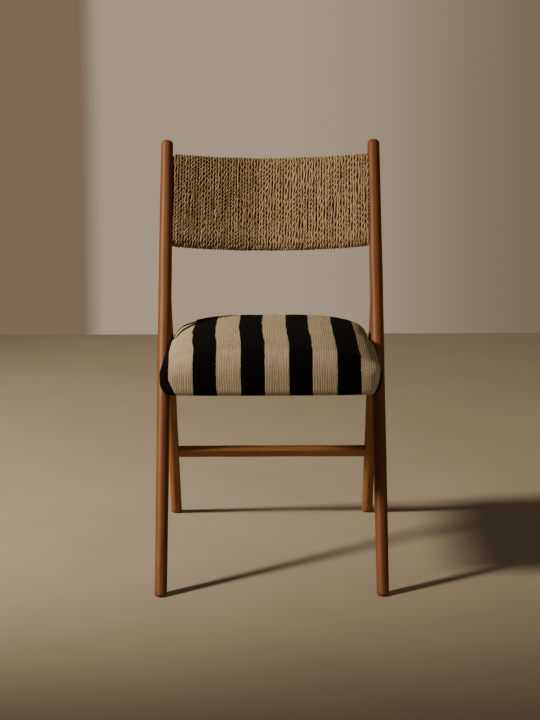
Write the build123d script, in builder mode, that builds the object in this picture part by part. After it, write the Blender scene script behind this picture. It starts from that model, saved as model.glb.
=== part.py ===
from build123d import *

import os
from math import asin, cos, degrees, radians, sin, sqrt, tan

# A side chair in millimetres. +Z is up, the chair faces -Y, and X = 0 is its mid-plane. The origin is on the
# floor, midway between the front of the seat and the back of the rear feet.

# ---------------------------------------------------------------- driving dimensions
# Stance
POST_SPACING = 426.0  # between the axes of the two posts, and of the two rear legs
POST_LEAN = 27.6  # degrees that the posts lean back
LEG_LEAN = 29.0  # degrees that the rear legs lean forward
FOOT_SPREAD = 587.0  # front foot to rear foot, along the floor
POST_LENGTH = 945.0  # along the axis, from the floor to the crown of the domed top

# Posts, tapered both ways from a slight swell
POST_FOOT_DIAMETER = 23.4
POST_SHIN_DIAMETER = 25.0
POST_SHIN_STATION = 170.0  # stations are measured along the axis, from the floor
POST_SWELL_DIAMETER = 26.6
POST_SWELL_STATION = 660.0
POST_TOP_DIAMETER = 25.0
POST_DOME_HEIGHT = 9.0

# Rear legs
LEG_FOOT_DIAMETER = 23.8
LEG_TOP_DIAMETER = 24.8
LEG_DOWEL_DIAMETER = 10.0
LEG_DOWEL_IN_LEG = 28.0
LEG_DOWEL_IN_POST = 14.0

# Stretcher between the rear legs
STRETCHER_HEIGHT = 161.0  # height of its centre line above the floor
STRETCHER_WIDTH = 22.0  # along the legs
STRETCHER_THICKNESS = 17.5  # across the plane of the legs
STRETCHER_EDGE_RADIUS = 2.0
STRETCHER_TENON_WIDTH = 14.0
STRETCHER_TENON_THICKNESS = 9.0

# Back: two curved rails wound with rope
BACK_TOP_STATION = 916.0  # upper edge of the winding
BACK_HEIGHT = 203.5
BACK_SAGITTA = 28.0  # how far the middle of the rails lies behind the plane of the posts
BACK_RAIL_WIDTH = 22.0  # along the posts
BACK_RAIL_THICKNESS = 12.0
BACK_RAIL_EDGE_RADIUS = 5.0
BACK_TENON_WIDTH = 14.0
BACK_TENON_THICKNESS = 8.0
TENON_DEPTH = 12.0  # of every tenon, into the round member that it enters
ROPE_DIAMETER = 5.6
WINDING_GAP = 0.8  # between each end of the winding and the post beside it
ROPE_TACK_DIAMETER = 1.6
ROPE_TACK_LENGTH = 12.0
ROPE_TACK_INSET = 9.0  # from the end of the winding

# Seat pad, outside the cover
SEAT_UNDERSIDE = 399.0
SEAT_SIDE_HEIGHT = 62.5  # underside to the line where the sides would meet the crown
SEAT_CROWN = 22.5  # rise of the middle above that line, from side to side
SEAT_END_HEIGHT = 80.0  # underside to the line where front and rear would meet the crown
SEAT_END_CROWN = 6.0  # rise of the middle above that line, from front to rear
SEAT_OVERHANG = 45.0  # in front of the front feet
SEAT_BEHIND_BOLTS = 45.4  # behind the bolts through the rear legs
SEAT_FRONT_BULGE = 5.0  # each side, where the pad stands free in front of the posts
SEAT_BOTTOM_SHARE = 0.35  # of the side height that is rounded at the bottom, along the sides
SEAT_END_BOTTOM_RADIUS = 14.0  # along the front and the rear
SEAT_SHOULDER_SHARE = 0.72  # the shoulders' radius, as a share of the side height
SEAT_FRONT_EDGE_RADIUS = 38.0
SEAT_REAR_EDGE_RADIUS = 30.0
SEAT_FRONT_CORNER_RADIUS = 32.0
SEAT_REAR_CORNER_RADIUS = 40.0
COVER_THICKNESS = 2.5
COVER_TURN = 20.0  # width of the cover's turned edge, on the underside of the rails
DUST_COVER_THICKNESS = 0.8
DUST_COVER_INSET = 16.0  # from the outer faces of the rails
SIDE_PADDING = 4.5  # between the cover and the side rails
END_PADDING = 7.0  # between the cover and the front and rear rails

# Seat frame
SEAT_RAIL_HEIGHT = 42.0
SEAT_RAIL_THICKNESS = 24.0
FRAME_DOWEL_DIAMETER = 8.0
FRAME_DOWEL_LENGTH = 32.0
FRAME_DOWEL_EDGE = 11.0  # from the edges of a rail to the axes of its dowels
BLOCK_LEG = 45.0  # short sides of a corner block
BLOCK_HEIGHT = 18.0
BLOCK_SCREW_DIAMETER = 4.0
BLOCK_SCREW_LENGTH = 30.0
BLOCK_SCREW_HEAD_DIAMETER = 8.0
BLOCK_SCREW_HEAD_HEIGHT = 2.5
BLOCK_SCREW_OFFSET = 24.0  # from the inner corner of the rails
BLOCK_SCREW_GRIP = 10.0  # wood left under the screw's head
STRAP_WIDTH = 50.0
STRAP_THICKNESS = 1.5
STRAP_COUNT = 5
STRAP_LAP = 16.0  # how far a strap reaches over a rail
TACK_HEAD_DIAMETER = 7.0
TACK_HEAD_HEIGHT = 1.2
TACK_SHANK_WIDTH = 1.6
TACK_LENGTH = 9.0
COVER_TACK_INSET = 19.0  # from the outer faces of the rails
COVER_TACKS_ACROSS = 6
COVER_TACKS_ALONG = 6

# Seat fastening: bolts through posts and legs into tee nuts in the side rails
BEARING_OFFSET = 12.0  # from the axis of a post or leg to the flat that the seat bears on
BOLT_DIAMETER = 6.0
BOLT_HEAD_DIAMETER = 10.0
BOLT_HEAD_HEIGHT = 6.0
BOLT_SEAT_OFFSET = 3.0  # the head's seat, outside the axis of the post or leg
BOLT_TIP = 3.0  # beyond the tee nut
BOLT_BELOW_RAIL_TOP = 12.3
PLUG_DIAMETER = 11.0
SPACER_DIAMETER = 14.0
TEE_FLANGE_DIAMETER = 15.0
TEE_FLANGE_THICKNESS = 1.5
TEE_BARREL_DIAMETER = 8.0
TEE_BARREL_LENGTH = 9.0

# Feet
GLIDE_DIAMETER = 20.0
GLIDE_THICKNESS = 3.0
GLIDE_CHAMFER = 1.2
NAIL_HEAD_DIAMETER = 6.0
NAIL_HEAD_HEIGHT = 1.0
NAIL_HEAD_COVER = 1.0  # glide left below the nail's head
NAIL_DIAMETER = 2.4
NAIL_LENGTH = 16.0

# Fits
JOINT_CLEARANCE = 0.1  # round a tenon or dowel, each side
JOINT_END_GAP = 1.0  # beyond the end of a tenon or dowel
BOLT_CLEARANCE = 0.2  # round a bolt, each side
FLAT_MARGIN = 2.0  # a bearing flat runs this far past the pad, each way

# ---------------------------------------------------------------- derived places
HALF_SPACING = POST_SPACING / 2
POST_DIRECTION = Vector(0, sin(radians(POST_LEAN)), cos(radians(POST_LEAN)))
LEG_DIRECTION = Vector(0, -sin(radians(LEG_LEAN)), cos(radians(LEG_LEAN)))

# The rear foot's reach behind its centre sets where the origin lies between front and back.
REAR_REACH = LEG_FOOT_DIAMETER / 2 / cos(radians(LEG_LEAN)) - GLIDE_THICKNESS * tan(radians(LEG_LEAN))
FRONT_FOOT_Y = (SEAT_OVERHANG - FOOT_SPREAD - REAR_REACH) / 2
REAR_FOOT_Y = FRONT_FOOT_Y + FOOT_SPREAD

# The axes of post and leg cross at this height, above the seat.
CROSSING_HEIGHT = FOOT_SPREAD / (tan(radians(POST_LEAN)) + tan(radians(LEG_LEAN)))
LEG_CROSSING_STATION = CROSSING_HEIGHT / cos(radians(LEG_LEAN))

POST_FOOT = Vector(HALF_SPACING, FRONT_FOOT_Y, 0)
LEG_FOOT = Vector(HALF_SPACING, REAR_FOOT_Y, 0)
POST_AXIS = Axis(POST_FOOT, POST_DIRECTION)
LEG_AXIS = Axis(LEG_FOOT, LEG_DIRECTION)

# Planes through each axis: local X is the chair's X, local Y runs up the axis.
POST_PLANE = Plane(origin=POST_FOOT, x_dir=(1, 0, 0), z_dir=(0, -POST_DIRECTION.Z, POST_DIRECTION.Y))
LEG_PLANE = Plane(origin=LEG_FOOT, x_dir=(1, 0, 0), z_dir=(0, -LEG_DIRECTION.Z, LEG_DIRECTION.Y))

# Seat: the rails lie inside the cover and its padding. The bolts cross the axes of post and leg, and the rear
# ones set how far back the seat reaches.
COVER_UNDERSIDE = SEAT_UNDERSIDE + DUST_COVER_THICKNESS
RAIL_BOTTOM = COVER_UNDERSIDE + COVER_THICKNESS
RAIL_TOP = RAIL_BOTTOM + SEAT_RAIL_HEIGHT
SIDE_RAIL_TOP = RAIL_TOP + STRAP_THICKNESS  # level with the straps that lie on the end rails
WEBBING_TOP = SIDE_RAIL_TOP + STRAP_THICKNESS
BOLT_HEIGHT = RAIL_TOP - BOLT_BELOW_RAIL_TOP
POST_BOLT_Y = FRONT_FOOT_Y + BOLT_HEIGHT * tan(radians(POST_LEAN))
LEG_BOLT_Y = REAR_FOOT_Y - BOLT_HEIGHT * tan(radians(LEG_LEAN))
SEAT_BOTTOM_RADIUS = SEAT_BOTTOM_SHARE * SEAT_SIDE_HEIGHT
SEAT_SHOULDER_RADIUS = SEAT_SHOULDER_SHARE * SEAT_SIDE_HEIGHT
SEAT_HALF_WIDTH = HALF_SPACING - BEARING_OFFSET
SEAT_FRONT = FRONT_FOOT_Y - SEAT_OVERHANG
SEAT_REAR = LEG_BOLT_Y + SEAT_BEHIND_BOLTS
RAIL_OUTER_X = SEAT_HALF_WIDTH - COVER_THICKNESS - SIDE_PADDING
RAIL_INNER_X = RAIL_OUTER_X - SEAT_RAIL_THICKNESS
RAIL_FRONT_Y = SEAT_FRONT + COVER_THICKNESS + END_PADDING
RAIL_REAR_Y = SEAT_REAR - COVER_THICKNESS - END_PADDING
END_RAIL_MID_YS = (RAIL_FRONT_Y + SEAT_RAIL_THICKNESS / 2, RAIL_REAR_Y - SEAT_RAIL_THICKNESS / 2)

BOLT_SEAT_X = HALF_SPACING + BOLT_SEAT_OFFSET
BOLT_TIP_X = RAIL_INNER_X - TEE_FLANGE_THICKNESS - BOLT_TIP

# Foot centres, on the cut faces of posts and legs
GLIDE_CENTRES = [
    (side * HALF_SPACING, y)
    for y in (
        FRONT_FOOT_Y + GLIDE_THICKNESS * tan(radians(POST_LEAN)),
        REAR_FOOT_Y - GLIDE_THICKNESS * tan(radians(LEG_LEAN)),
    )
    for side in (-1, 1)
]


def bolt_plane(x, y):
    """Plane on a seat bolt's axis at x, facing outwards on the right-hand side."""
    return Plane(origin=(x, y, BOLT_HEIGHT), x_dir=(0, 1, 0), z_dir=(1, 0, 0))


def axis_box(x_limits, y_limits, z_limits, mode=Mode.ADD):
    """Box between two limits on each axis of the chair."""
    with Locations((x_limits[0], y_limits[0], z_limits[0])):
        Box(
            x_limits[1] - x_limits[0],
            y_limits[1] - y_limits[0],
            z_limits[1] - z_limits[0],
            align=(Align.MIN, Align.MIN, Align.MIN),
            mode=mode,
        )


# ---------------------------------------------------------------- posts
# A blank is the whole turned form with its foot cut level. Joints are cut from it later, and it also scribes
# the pieces that meet it.
FOOT_TRIM = POST_FOOT_DIAMETER  # blanks start this far below the floor

# The top is a cap of a sphere that stands on the end of the upper taper.
DOME_RADIUS = ((POST_TOP_DIAMETER / 2) ** 2 + POST_DOME_HEIGHT**2) / (2 * POST_DOME_HEIGHT)
DOME_ANGLE = degrees(asin(POST_TOP_DIAMETER / 2 / DOME_RADIUS))

with BuildPart() as post_blank:
    with BuildSketch(POST_PLANE):
        with BuildLine():
            Polyline(
                (0, POST_LENGTH),
                (0, -FOOT_TRIM),
                (POST_FOOT_DIAMETER / 2, -FOOT_TRIM),
                (POST_SHIN_DIAMETER / 2, POST_SHIN_STATION),
                (POST_SWELL_DIAMETER / 2, POST_SWELL_STATION),
                (POST_TOP_DIAMETER / 2, POST_LENGTH - POST_DOME_HEIGHT),
            )
            CenterArc((0, POST_LENGTH - DOME_RADIUS), DOME_RADIUS, 90 - DOME_ANGLE, DOME_ANGLE)
        make_face()
    revolve(axis=POST_AXIS)
    split(bisect_by=Plane.XY.offset(GLIDE_THICKNESS), keep=Keep.TOP)

with BuildPart() as leg_blank:
    with BuildSketch(LEG_PLANE):
        with BuildLine():
            Polyline(
                (0, -FOOT_TRIM),
                (LEG_FOOT_DIAMETER / 2, -FOOT_TRIM),
                (LEG_TOP_DIAMETER / 2, LEG_CROSSING_STATION),
                (0, LEG_CROSSING_STATION),
                close=True,
            )
        make_face()
    revolve(axis=LEG_AXIS)
    split(bisect_by=Plane.XY.offset(GLIDE_THICKNESS), keep=Keep.TOP)

# The dowel of a rear leg runs along the leg's axis, from inside the leg to the middle of the post.
AXES_ANGLE = radians(POST_LEAN + LEG_LEAN)
LEG_END_STATION = LEG_CROSSING_STATION - POST_SWELL_DIAMETER / 2 / sin(AXES_ANGLE)
DOWEL_START_STATION = LEG_END_STATION - LEG_DOWEL_IN_LEG
DOWEL_LENGTH = LEG_DOWEL_IN_LEG + LEG_DOWEL_IN_POST
DOWEL_START = LEG_FOOT + LEG_DIRECTION * DOWEL_START_STATION
DOWEL_PLANE = Plane(origin=DOWEL_START, x_dir=(1, 0, 0), z_dir=LEG_DIRECTION)


def cut_dowel_hole():
    """Drill for a rear leg's dowel, in the post or in the leg."""
    with Locations(DOWEL_PLANE.offset(-JOINT_END_GAP)):
        Cylinder(
            LEG_DOWEL_DIAMETER / 2 + JOINT_CLEARANCE,
            DOWEL_LENGTH + 2 * JOINT_END_GAP,
            align=(Align.CENTER, Align.CENTER, Align.MIN),
            mode=Mode.SUBTRACT,
        )


def cut_seat_bearing(bolt_y, diameter):
    """Flat for the side of the seat, bolt hole, and counterbore for the bolt's head and plug."""
    axis_box(
        (HALF_SPACING - diameter, SEAT_HALF_WIDTH),
        (bolt_y - SEAT_SIDE_HEIGHT, bolt_y + SEAT_SIDE_HEIGHT),
        (SEAT_UNDERSIDE - FLAT_MARGIN, SEAT_UNDERSIDE + SEAT_SIDE_HEIGHT + FLAT_MARGIN),
        mode=Mode.SUBTRACT,
    )
    with Locations(bolt_plane(BOLT_SEAT_X, bolt_y)):
        Cylinder(BOLT_DIAMETER / 2 + BOLT_CLEARANCE, 2 * diameter, mode=Mode.SUBTRACT)
        Cylinder(
            PLUG_DIAMETER / 2,
            diameter,
            align=(Align.CENTER, Align.CENTER, Align.MIN),
            mode=Mode.SUBTRACT,
        )


def cut_nail_hole(centre):
    """Hole for a glide's nail, upright into the level foot."""
    with Locations((*centre, GLIDE_THICKNESS)):
        Cylinder(
            NAIL_DIAMETER / 2,
            NAIL_LENGTH,
            align=(Align.CENTER, Align.CENTER, Align.MIN),
            mode=Mode.SUBTRACT,
        )


# Back rails: each is the band between two arcs in a plane square to the posts, as deep as the rail is wide.
BACK_BOTTOM_STATION = BACK_TOP_STATION - BACK_HEIGHT
TOP_RAIL_STATION = BACK_TOP_STATION - ROPE_DIAMETER - BACK_RAIL_WIDTH
BOTTOM_RAIL_STATION = BACK_BOTTOM_STATION + ROPE_DIAMETER
BACK_RADIUS = (HALF_SPACING**2 + BACK_SAGITTA**2) / (2 * BACK_SAGITTA)
TENON_ROOT_X = HALF_SPACING - POST_SWELL_DIAMETER / 2
TENON_END_X = TENON_ROOT_X + TENON_DEPTH
WINDING_LENGTH = 2 * (TENON_ROOT_X - WINDING_GAP)  # along the rails, as a chord
TENON_ROOT_OVERLAP = 2.0  # a curved rail's tenon starts this far inside its shoulder
BACK_RAIL_STATIONS = (BOTTOM_RAIL_STATION, TOP_RAIL_STATION)


def back_plane(station):
    """Plane square to the posts at a station: local X is the chair's X, local Y points behind the chair."""
    origin = Vector(0, FRONT_FOOT_Y, 0) + POST_DIRECTION * station
    return Plane(origin=origin, x_dir=(1, 0, 0), z_dir=POST_DIRECTION)


def arc_depth(x, offset):
    """Distance behind the posts' plane of the arc that runs an offset behind the rails' middle line."""
    radius = BACK_RADIUS + offset
    return BACK_SAGITTA - BACK_RADIUS + sqrt(radius**2 - x**2)


def curved_bar(station, height, half_length, thickness, edge_radius):
    """Bar bent to the curve of the back, its lower edge at a station, sawn off square to the chair."""
    base = back_plane(station)
    centre = base.from_local_coords(Vector(0, BACK_SAGITTA - BACK_RADIUS, 0))
    half_sweep = asin((half_length + thickness) / BACK_RADIUS)
    radial = base.y_dir * cos(half_sweep) + base.x_dir * sin(half_sweep)
    with BuildPart() as bar:
        with BuildSketch(Plane(origin=centre, x_dir=radial, z_dir=radial.cross(POST_DIRECTION))):
            with Locations((BACK_RADIUS, height / 2)):
                RectangleRounded(thickness, height, edge_radius)
        revolve(axis=Axis(centre, POST_DIRECTION), revolution_arc=2 * degrees(half_sweep))
        axis_box(
            (-half_length, half_length),
            (-FOOT_SPREAD, FOOT_SPREAD),
            (0, POST_LENGTH),
            mode=Mode.INTERSECT,
        )
    return bar.part


def back_tenon_plane(station):
    """Plane through the tenons of the back rail whose lower edge is at a station."""
    middle = back_plane(station + BACK_RAIL_WIDTH / 2)
    return Plane(
        origin=middle.from_local_coords(Vector(0, arc_depth(TENON_ROOT_X, 0), 0)),
        x_dir=middle.x_dir,
        z_dir=middle.z_dir,
    )


def cut_mortise(plane, width, thickness):
    """Mortise of a tenon that lies on a plane square to the round member, width running along that member."""
    with Locations(plane):
        Box(
            2 * (TENON_END_X + JOINT_END_GAP),
            thickness + 2 * JOINT_CLEARANCE,
            width + 2 * JOINT_CLEARANCE,
            mode=Mode.SUBTRACT,
        )


with BuildPart() as right_post:
    add(post_blank.part)
    cut_seat_bearing(POST_BOLT_Y, POST_SWELL_DIAMETER)
    cut_dowel_hole()
    cut_nail_hole(GLIDE_CENTRES[1])
    for rail_station in BACK_RAIL_STATIONS:
        cut_mortise(back_tenon_plane(rail_station), BACK_TENON_WIDTH, BACK_TENON_THICKNESS)

with BuildPart() as left_post:
    mirror(right_post.part, about=Plane.YZ)

# ---------------------------------------------------------------- rear legs and stretcher
STRETCHER_PLANE = Plane(
    origin=Vector(0, REAR_FOOT_Y, 0) + LEG_DIRECTION * (STRETCHER_HEIGHT / cos(radians(LEG_LEAN))),
    x_dir=(1, 0, 0),
    z_dir=LEG_DIRECTION,
)

with BuildPart() as right_rear_leg:
    add(leg_blank.part)
    add(post_blank.part, mode=Mode.SUBTRACT)
    cut_seat_bearing(LEG_BOLT_Y, LEG_TOP_DIAMETER)
    cut_dowel_hole()
    cut_nail_hole(GLIDE_CENTRES[3])
    cut_mortise(STRETCHER_PLANE, STRETCHER_TENON_WIDTH, STRETCHER_TENON_THICKNESS)

with BuildPart() as left_rear_leg:
    mirror(right_rear_leg.part, about=Plane.YZ)

with BuildPart() as leg_dowels:
    with Locations(DOWEL_PLANE):
        Cylinder(LEG_DOWEL_DIAMETER / 2, DOWEL_LENGTH, align=(Align.CENTER, Align.CENTER, Align.MIN))
    mirror(about=Plane.YZ)

with BuildPart() as rear_stretcher:
    with Locations(STRETCHER_PLANE):
        Box(POST_SPACING, STRETCHER_THICKNESS, STRETCHER_WIDTH)
    fillet(rear_stretcher.edges().filter_by(Axis.X), STRETCHER_EDGE_RADIUS)
    add(leg_blank.part, mode=Mode.SUBTRACT)
    add(leg_blank.part.mirror(Plane.YZ), mode=Mode.SUBTRACT)
    # the scribing leaves a cap beyond each leg, which is sawn off
    axis_box((-HALF_SPACING, HALF_SPACING), (-FOOT_SPREAD, FOOT_SPREAD), (0, POST_LENGTH), mode=Mode.INTERSECT)
    with Locations(STRETCHER_PLANE):
        Box(2 * TENON_END_X, STRETCHER_TENON_THICKNESS, STRETCHER_TENON_WIDTH)


# ---------------------------------------------------------------- back
# Two tacks hold the ends of the rope to the back of the top rail.
ROPE_TACK_X = WINDING_LENGTH / 2 - ROPE_TACK_INSET
ROPE_TACK_PLANE = back_plane(TOP_RAIL_STATION + BACK_RAIL_WIDTH / 2)
ROPE_TACK_HEAD = ROPE_TACK_PLANE.from_local_coords(
    Vector(ROPE_TACK_X, arc_depth(ROPE_TACK_X, BACK_RAIL_THICKNESS / 2 + ROPE_DIAMETER), 0)
)

ROPE_TACK_PLACE = Plane(origin=ROPE_TACK_HEAD, x_dir=(1, 0, 0), z_dir=ROPE_TACK_PLANE.y_dir)

with BuildPart() as rope_tacks:
    with Locations(ROPE_TACK_PLACE):
        Cylinder(ROPE_TACK_DIAMETER / 2, ROPE_TACK_LENGTH, align=(Align.CENTER, Align.CENTER, Align.MAX))
    mirror(about=Plane.YZ)


def make_back_rail(station):
    """Curved rail scribed to both posts, with a tenon at each end."""
    with BuildPart() as rail:
        add(curved_bar(station, BACK_RAIL_WIDTH, HALF_SPACING, BACK_RAIL_THICKNESS, BACK_RAIL_EDGE_RADIUS))
        add(post_blank.part, mode=Mode.SUBTRACT)
        add(post_blank.part.mirror(Plane.YZ), mode=Mode.SUBTRACT)
        for side in (-1, 1):
            root_x = side * (TENON_ROOT_X - TENON_ROOT_OVERLAP)
            with Locations(back_tenon_plane(station).location * Location((root_x, 0, 0))):
                Box(
                    TENON_DEPTH + TENON_ROOT_OVERLAP,
                    BACK_TENON_THICKNESS,
                    BACK_TENON_WIDTH,
                    align=(Align.MIN if side > 0 else Align.MAX, Align.CENTER, Align.CENTER),
                )
        add(rope_tacks.part, mode=Mode.SUBTRACT)
    return rail


back_top_rail = make_back_rail(TOP_RAIL_STATION)
back_bottom_rail = make_back_rail(BOTTOM_RAIL_STATION)

# The winding is a jacket of one rope's thickness round both rails, hollow between them.
with BuildPart() as rope_winding:
    add(
        curved_bar(
            BACK_BOTTOM_STATION,
            BACK_HEIGHT,
            WINDING_LENGTH / 2,
            BACK_RAIL_THICKNESS + 2 * ROPE_DIAMETER,
            BACK_RAIL_EDGE_RADIUS + ROPE_DIAMETER,
        )
    )
    add(
        curved_bar(
            BOTTOM_RAIL_STATION,
            BACK_HEIGHT - 2 * ROPE_DIAMETER,
            HALF_SPACING,
            BACK_RAIL_THICKNESS,
            BACK_RAIL_EDGE_RADIUS,
        ),
        mode=Mode.SUBTRACT,
    )
    with Locations(ROPE_TACK_PLACE):
        Cylinder(
            ROPE_TACK_DIAMETER / 2 + JOINT_CLEARANCE,
            2 * (ROPE_DIAMETER + JOINT_END_GAP),
            mode=Mode.SUBTRACT,
        )
    split(bisect_by=Plane.YZ, keep=Keep.TOP)
    mirror(about=Plane.YZ)


# ---------------------------------------------------------------- form of the seat pad
def make_pad(inset):
    """The pad's outer form, brought in by an inset: what a plan, a front and a side outline share."""
    half_width = SEAT_HALF_WIDTH - inset
    free_half_width = half_width + SEAT_FRONT_BULGE
    front_y = SEAT_FRONT + inset
    rear_y = SEAT_REAR - inset
    bottom = COVER_UNDERSIDE + inset
    side_top = SEAT_UNDERSIDE + SEAT_SIDE_HEIGHT - inset
    end_top = SEAT_UNDERSIDE + SEAT_END_HEIGHT - inset
    bulge_end_y = POST_BOLT_Y - SEAT_SIDE_HEIGHT
    bulge_start_y = bulge_end_y - SEAT_SIDE_HEIGHT
    with BuildPart() as pad:
        with BuildSketch(Plane.XY) as plan:
            with BuildLine():
                Polyline(
                    (-free_half_width, front_y),
                    (free_half_width, front_y),
                    (free_half_width, bulge_start_y),
                    (half_width, bulge_end_y),
                    (half_width, rear_y),
                    (-half_width, rear_y),
                    (-half_width, bulge_end_y),
                    (-free_half_width, bulge_start_y),
                    close=True,
                )
            make_face()
            fillet(plan.vertices().group_by(Axis.Y)[0], SEAT_FRONT_CORNER_RADIUS - inset)
            fillet(plan.vertices().group_by(Axis.Y)[-1], SEAT_REAR_CORNER_RADIUS - inset)
        extrude(amount=2 * SEAT_UNDERSIDE)
        with BuildSketch(Plane.XZ) as section:
            with BuildLine():
                Polyline(
                    (-free_half_width, side_top),
                    (-free_half_width, bottom),
                    (free_half_width, bottom),
                    (free_half_width, side_top),
                )
                ThreePointArc(
                    (free_half_width, side_top),
                    (0, side_top + SEAT_CROWN),
                    (-free_half_width, side_top),
                )
            make_face()
            fillet(section.vertices().group_by(Axis.Y)[0], SEAT_BOTTOM_RADIUS - inset)
            fillet(section.vertices().group_by(Axis.Y)[-1], SEAT_SHOULDER_RADIUS - inset)
        extrude(amount=FOOT_SPREAD, both=True, mode=Mode.INTERSECT)
        with BuildSketch(Plane.YZ) as side_view:
            with BuildLine():
                Polyline(
                    (front_y, end_top),
                    (front_y, bottom),
                    (rear_y, bottom),
                    (rear_y, end_top),
                )
                ThreePointArc(
                    (rear_y, end_top),
                    ((front_y + rear_y) / 2, end_top + SEAT_END_CROWN),
                    (front_y, end_top),
                )
            make_face()
            fillet(side_view.vertices().group_by(Axis.Y)[0], SEAT_END_BOTTOM_RADIUS - inset)
            front_top = side_view.vertices().group_by(Axis.X)[0].sort_by(Axis.Y)[-1]
            fillet(front_top, SEAT_FRONT_EDGE_RADIUS - inset)
            rear_top = side_view.vertices().group_by(Axis.X)[-1].sort_by(Axis.Y)[-1]
            fillet(rear_top, SEAT_REAR_EDGE_RADIUS - inset)
        extrude(amount=POST_SPACING, both=True, mode=Mode.INTERSECT)
    return pad


pad_outside = make_pad(0)
pad_inside = make_pad(COVER_THICKNESS)


# ---------------------------------------------------------------- seat frame
def make_side_rail():
    """Right-hand rail of the seat frame, drilled for bolts, tee nuts and corner dowels."""
    with BuildPart() as rail:
        axis_box((RAIL_INNER_X, RAIL_OUTER_X), (RAIL_FRONT_Y, RAIL_REAR_Y), (RAIL_BOTTOM, SIDE_RAIL_TOP))
        add(pad_inside.part, mode=Mode.INTERSECT)
        for bolt_y in (POST_BOLT_Y, LEG_BOLT_Y):
            with Locations(bolt_plane(RAIL_INNER_X, bolt_y)):
                Cylinder(BOLT_DIAMETER / 2 + BOLT_CLEARANCE, POST_SPACING, mode=Mode.SUBTRACT)
                Cylinder(TEE_BARREL_DIAMETER / 2, 2 * TEE_BARREL_LENGTH, mode=Mode.SUBTRACT)
        cut_from_frame()
    return rail


def cut_from_frame():
    """Holes of every dowel, screw and tack that enters the frame; those that miss a piece leave it whole."""
    for fastener in (frame_dowel_holes, corner_block_screws, webbing_tacks, cover_tacks):
        add(fastener.part, mode=Mode.SUBTRACT)


# Two dowels at each corner run along X, half in each rail. The rails' lower outer edges are eased to the turn
# of the cover.
def make_frame_dowels(clearance, end_gap):
    """The eight corner dowels, or their holes when there is a clearance."""
    with BuildPart() as dowels:
        for rail_y in END_RAIL_MID_YS:
            for side in (-1, 1):
                corner = (side * RAIL_INNER_X, rail_y, RAIL_BOTTOM + SEAT_RAIL_HEIGHT / 2)
                with Locations(Plane(origin=corner, x_dir=(0, 1, 0), z_dir=(1, 0, 0))):
                    with GridLocations(0, SEAT_RAIL_HEIGHT - 2 * FRAME_DOWEL_EDGE, 1, 2):
                        Cylinder(FRAME_DOWEL_DIAMETER / 2 + clearance, FRAME_DOWEL_LENGTH + 2 * end_gap)
    return dowels


frame_dowels = make_frame_dowels(0, 0)
frame_dowel_holes = make_frame_dowels(JOINT_CLEARANCE, JOINT_END_GAP)

# Corner blocks: right-angled prisms against the lower halves of the rails. Each screw's head stands in a
# counterbore that leaves BLOCK_SCREW_GRIP of wood under it.
RAIL_INNER_FRONT_Y = RAIL_FRONT_Y + SEAT_RAIL_THICKNESS
RAIL_INNER_REAR_Y = RAIL_REAR_Y - SEAT_RAIL_THICKNESS
SCREW_HEIGHT = RAIL_BOTTOM + BLOCK_HEIGHT / 2


def screw_planes():
    """Planes at the heads' seats of all eight block screws, facing back along the screw."""
    planes = []
    for side in (-1, 1):
        for inner_y, inwards in ((RAIL_INNER_FRONT_Y, 1), (RAIL_INNER_REAR_Y, -1)):
            along_x = (
                side * (RAIL_INNER_X - BLOCK_SCREW_GRIP),
                inner_y + inwards * BLOCK_SCREW_OFFSET,
                SCREW_HEIGHT,
            )
            along_y = (
                side * (RAIL_INNER_X - BLOCK_SCREW_OFFSET),
                inner_y + inwards * BLOCK_SCREW_GRIP,
                SCREW_HEIGHT,
            )
            planes.append(Plane(origin=along_x, x_dir=(0, 0, 1), z_dir=(-side, 0, 0)))
            planes.append(Plane(origin=along_y, x_dir=(0, 0, 1), z_dir=(0, inwards, 0)))
    return planes


with BuildPart() as corner_block_screws:
    with Locations(*screw_planes()):
        Cylinder(BLOCK_SCREW_DIAMETER / 2, BLOCK_SCREW_LENGTH, align=(Align.CENTER, Align.CENTER, Align.MAX))
        Cylinder(
            BLOCK_SCREW_HEAD_DIAMETER / 2,
            BLOCK_SCREW_HEAD_HEIGHT,
            align=(Align.CENTER, Align.CENTER, Align.MIN),
        )

with BuildPart() as corner_blocks:
    with BuildSketch(Plane.XY.offset(RAIL_BOTTOM)):
        for side in (-1, 1):
            for inner_y, inwards in ((RAIL_INNER_FRONT_Y, 1), (RAIL_INNER_REAR_Y, -1)):
                with BuildLine():
                    Polyline(
                        (side * RAIL_INNER_X, inner_y),
                        (side * (RAIL_INNER_X - BLOCK_LEG), inner_y),
                        (side * RAIL_INNER_X, inner_y + inwards * BLOCK_LEG),
                        close=True,
                    )
                make_face()
    extrude(amount=BLOCK_HEIGHT)
    with Locations(*screw_planes()):
        Cylinder(
            BLOCK_SCREW_HEAD_DIAMETER / 2,
            BLOCK_LEG,
            align=(Align.CENTER, Align.CENTER, Align.MIN),
            mode=Mode.SUBTRACT,
        )
        Cylinder(BLOCK_SCREW_DIAMETER / 2, BLOCK_SCREW_LENGTH, mode=Mode.SUBTRACT)

# ---------------------------------------------------------------- webbing and tacks
FRAME_INNER_DEPTH = RAIL_INNER_REAR_Y - RAIL_INNER_FRONT_Y
FRAME_MID_Y = (RAIL_FRONT_Y + RAIL_REAR_Y) / 2
STRAP_SPACING_X = 2 * RAIL_INNER_X / STRAP_COUNT
STRAP_SPACING_Y = FRAME_INNER_DEPTH / STRAP_COUNT


def add_tacks(head_plane):
    """Tacks at the current places: head on the given side, shank into the wood."""
    with Locations(head_plane):
        Cylinder(TACK_HEAD_DIAMETER / 2, TACK_HEAD_HEIGHT, align=(Align.CENTER, Align.CENTER, Align.MIN))
        Box(TACK_SHANK_WIDTH, TACK_SHANK_WIDTH, TACK_LENGTH, align=(Align.CENTER, Align.CENTER, Align.MAX))


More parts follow.
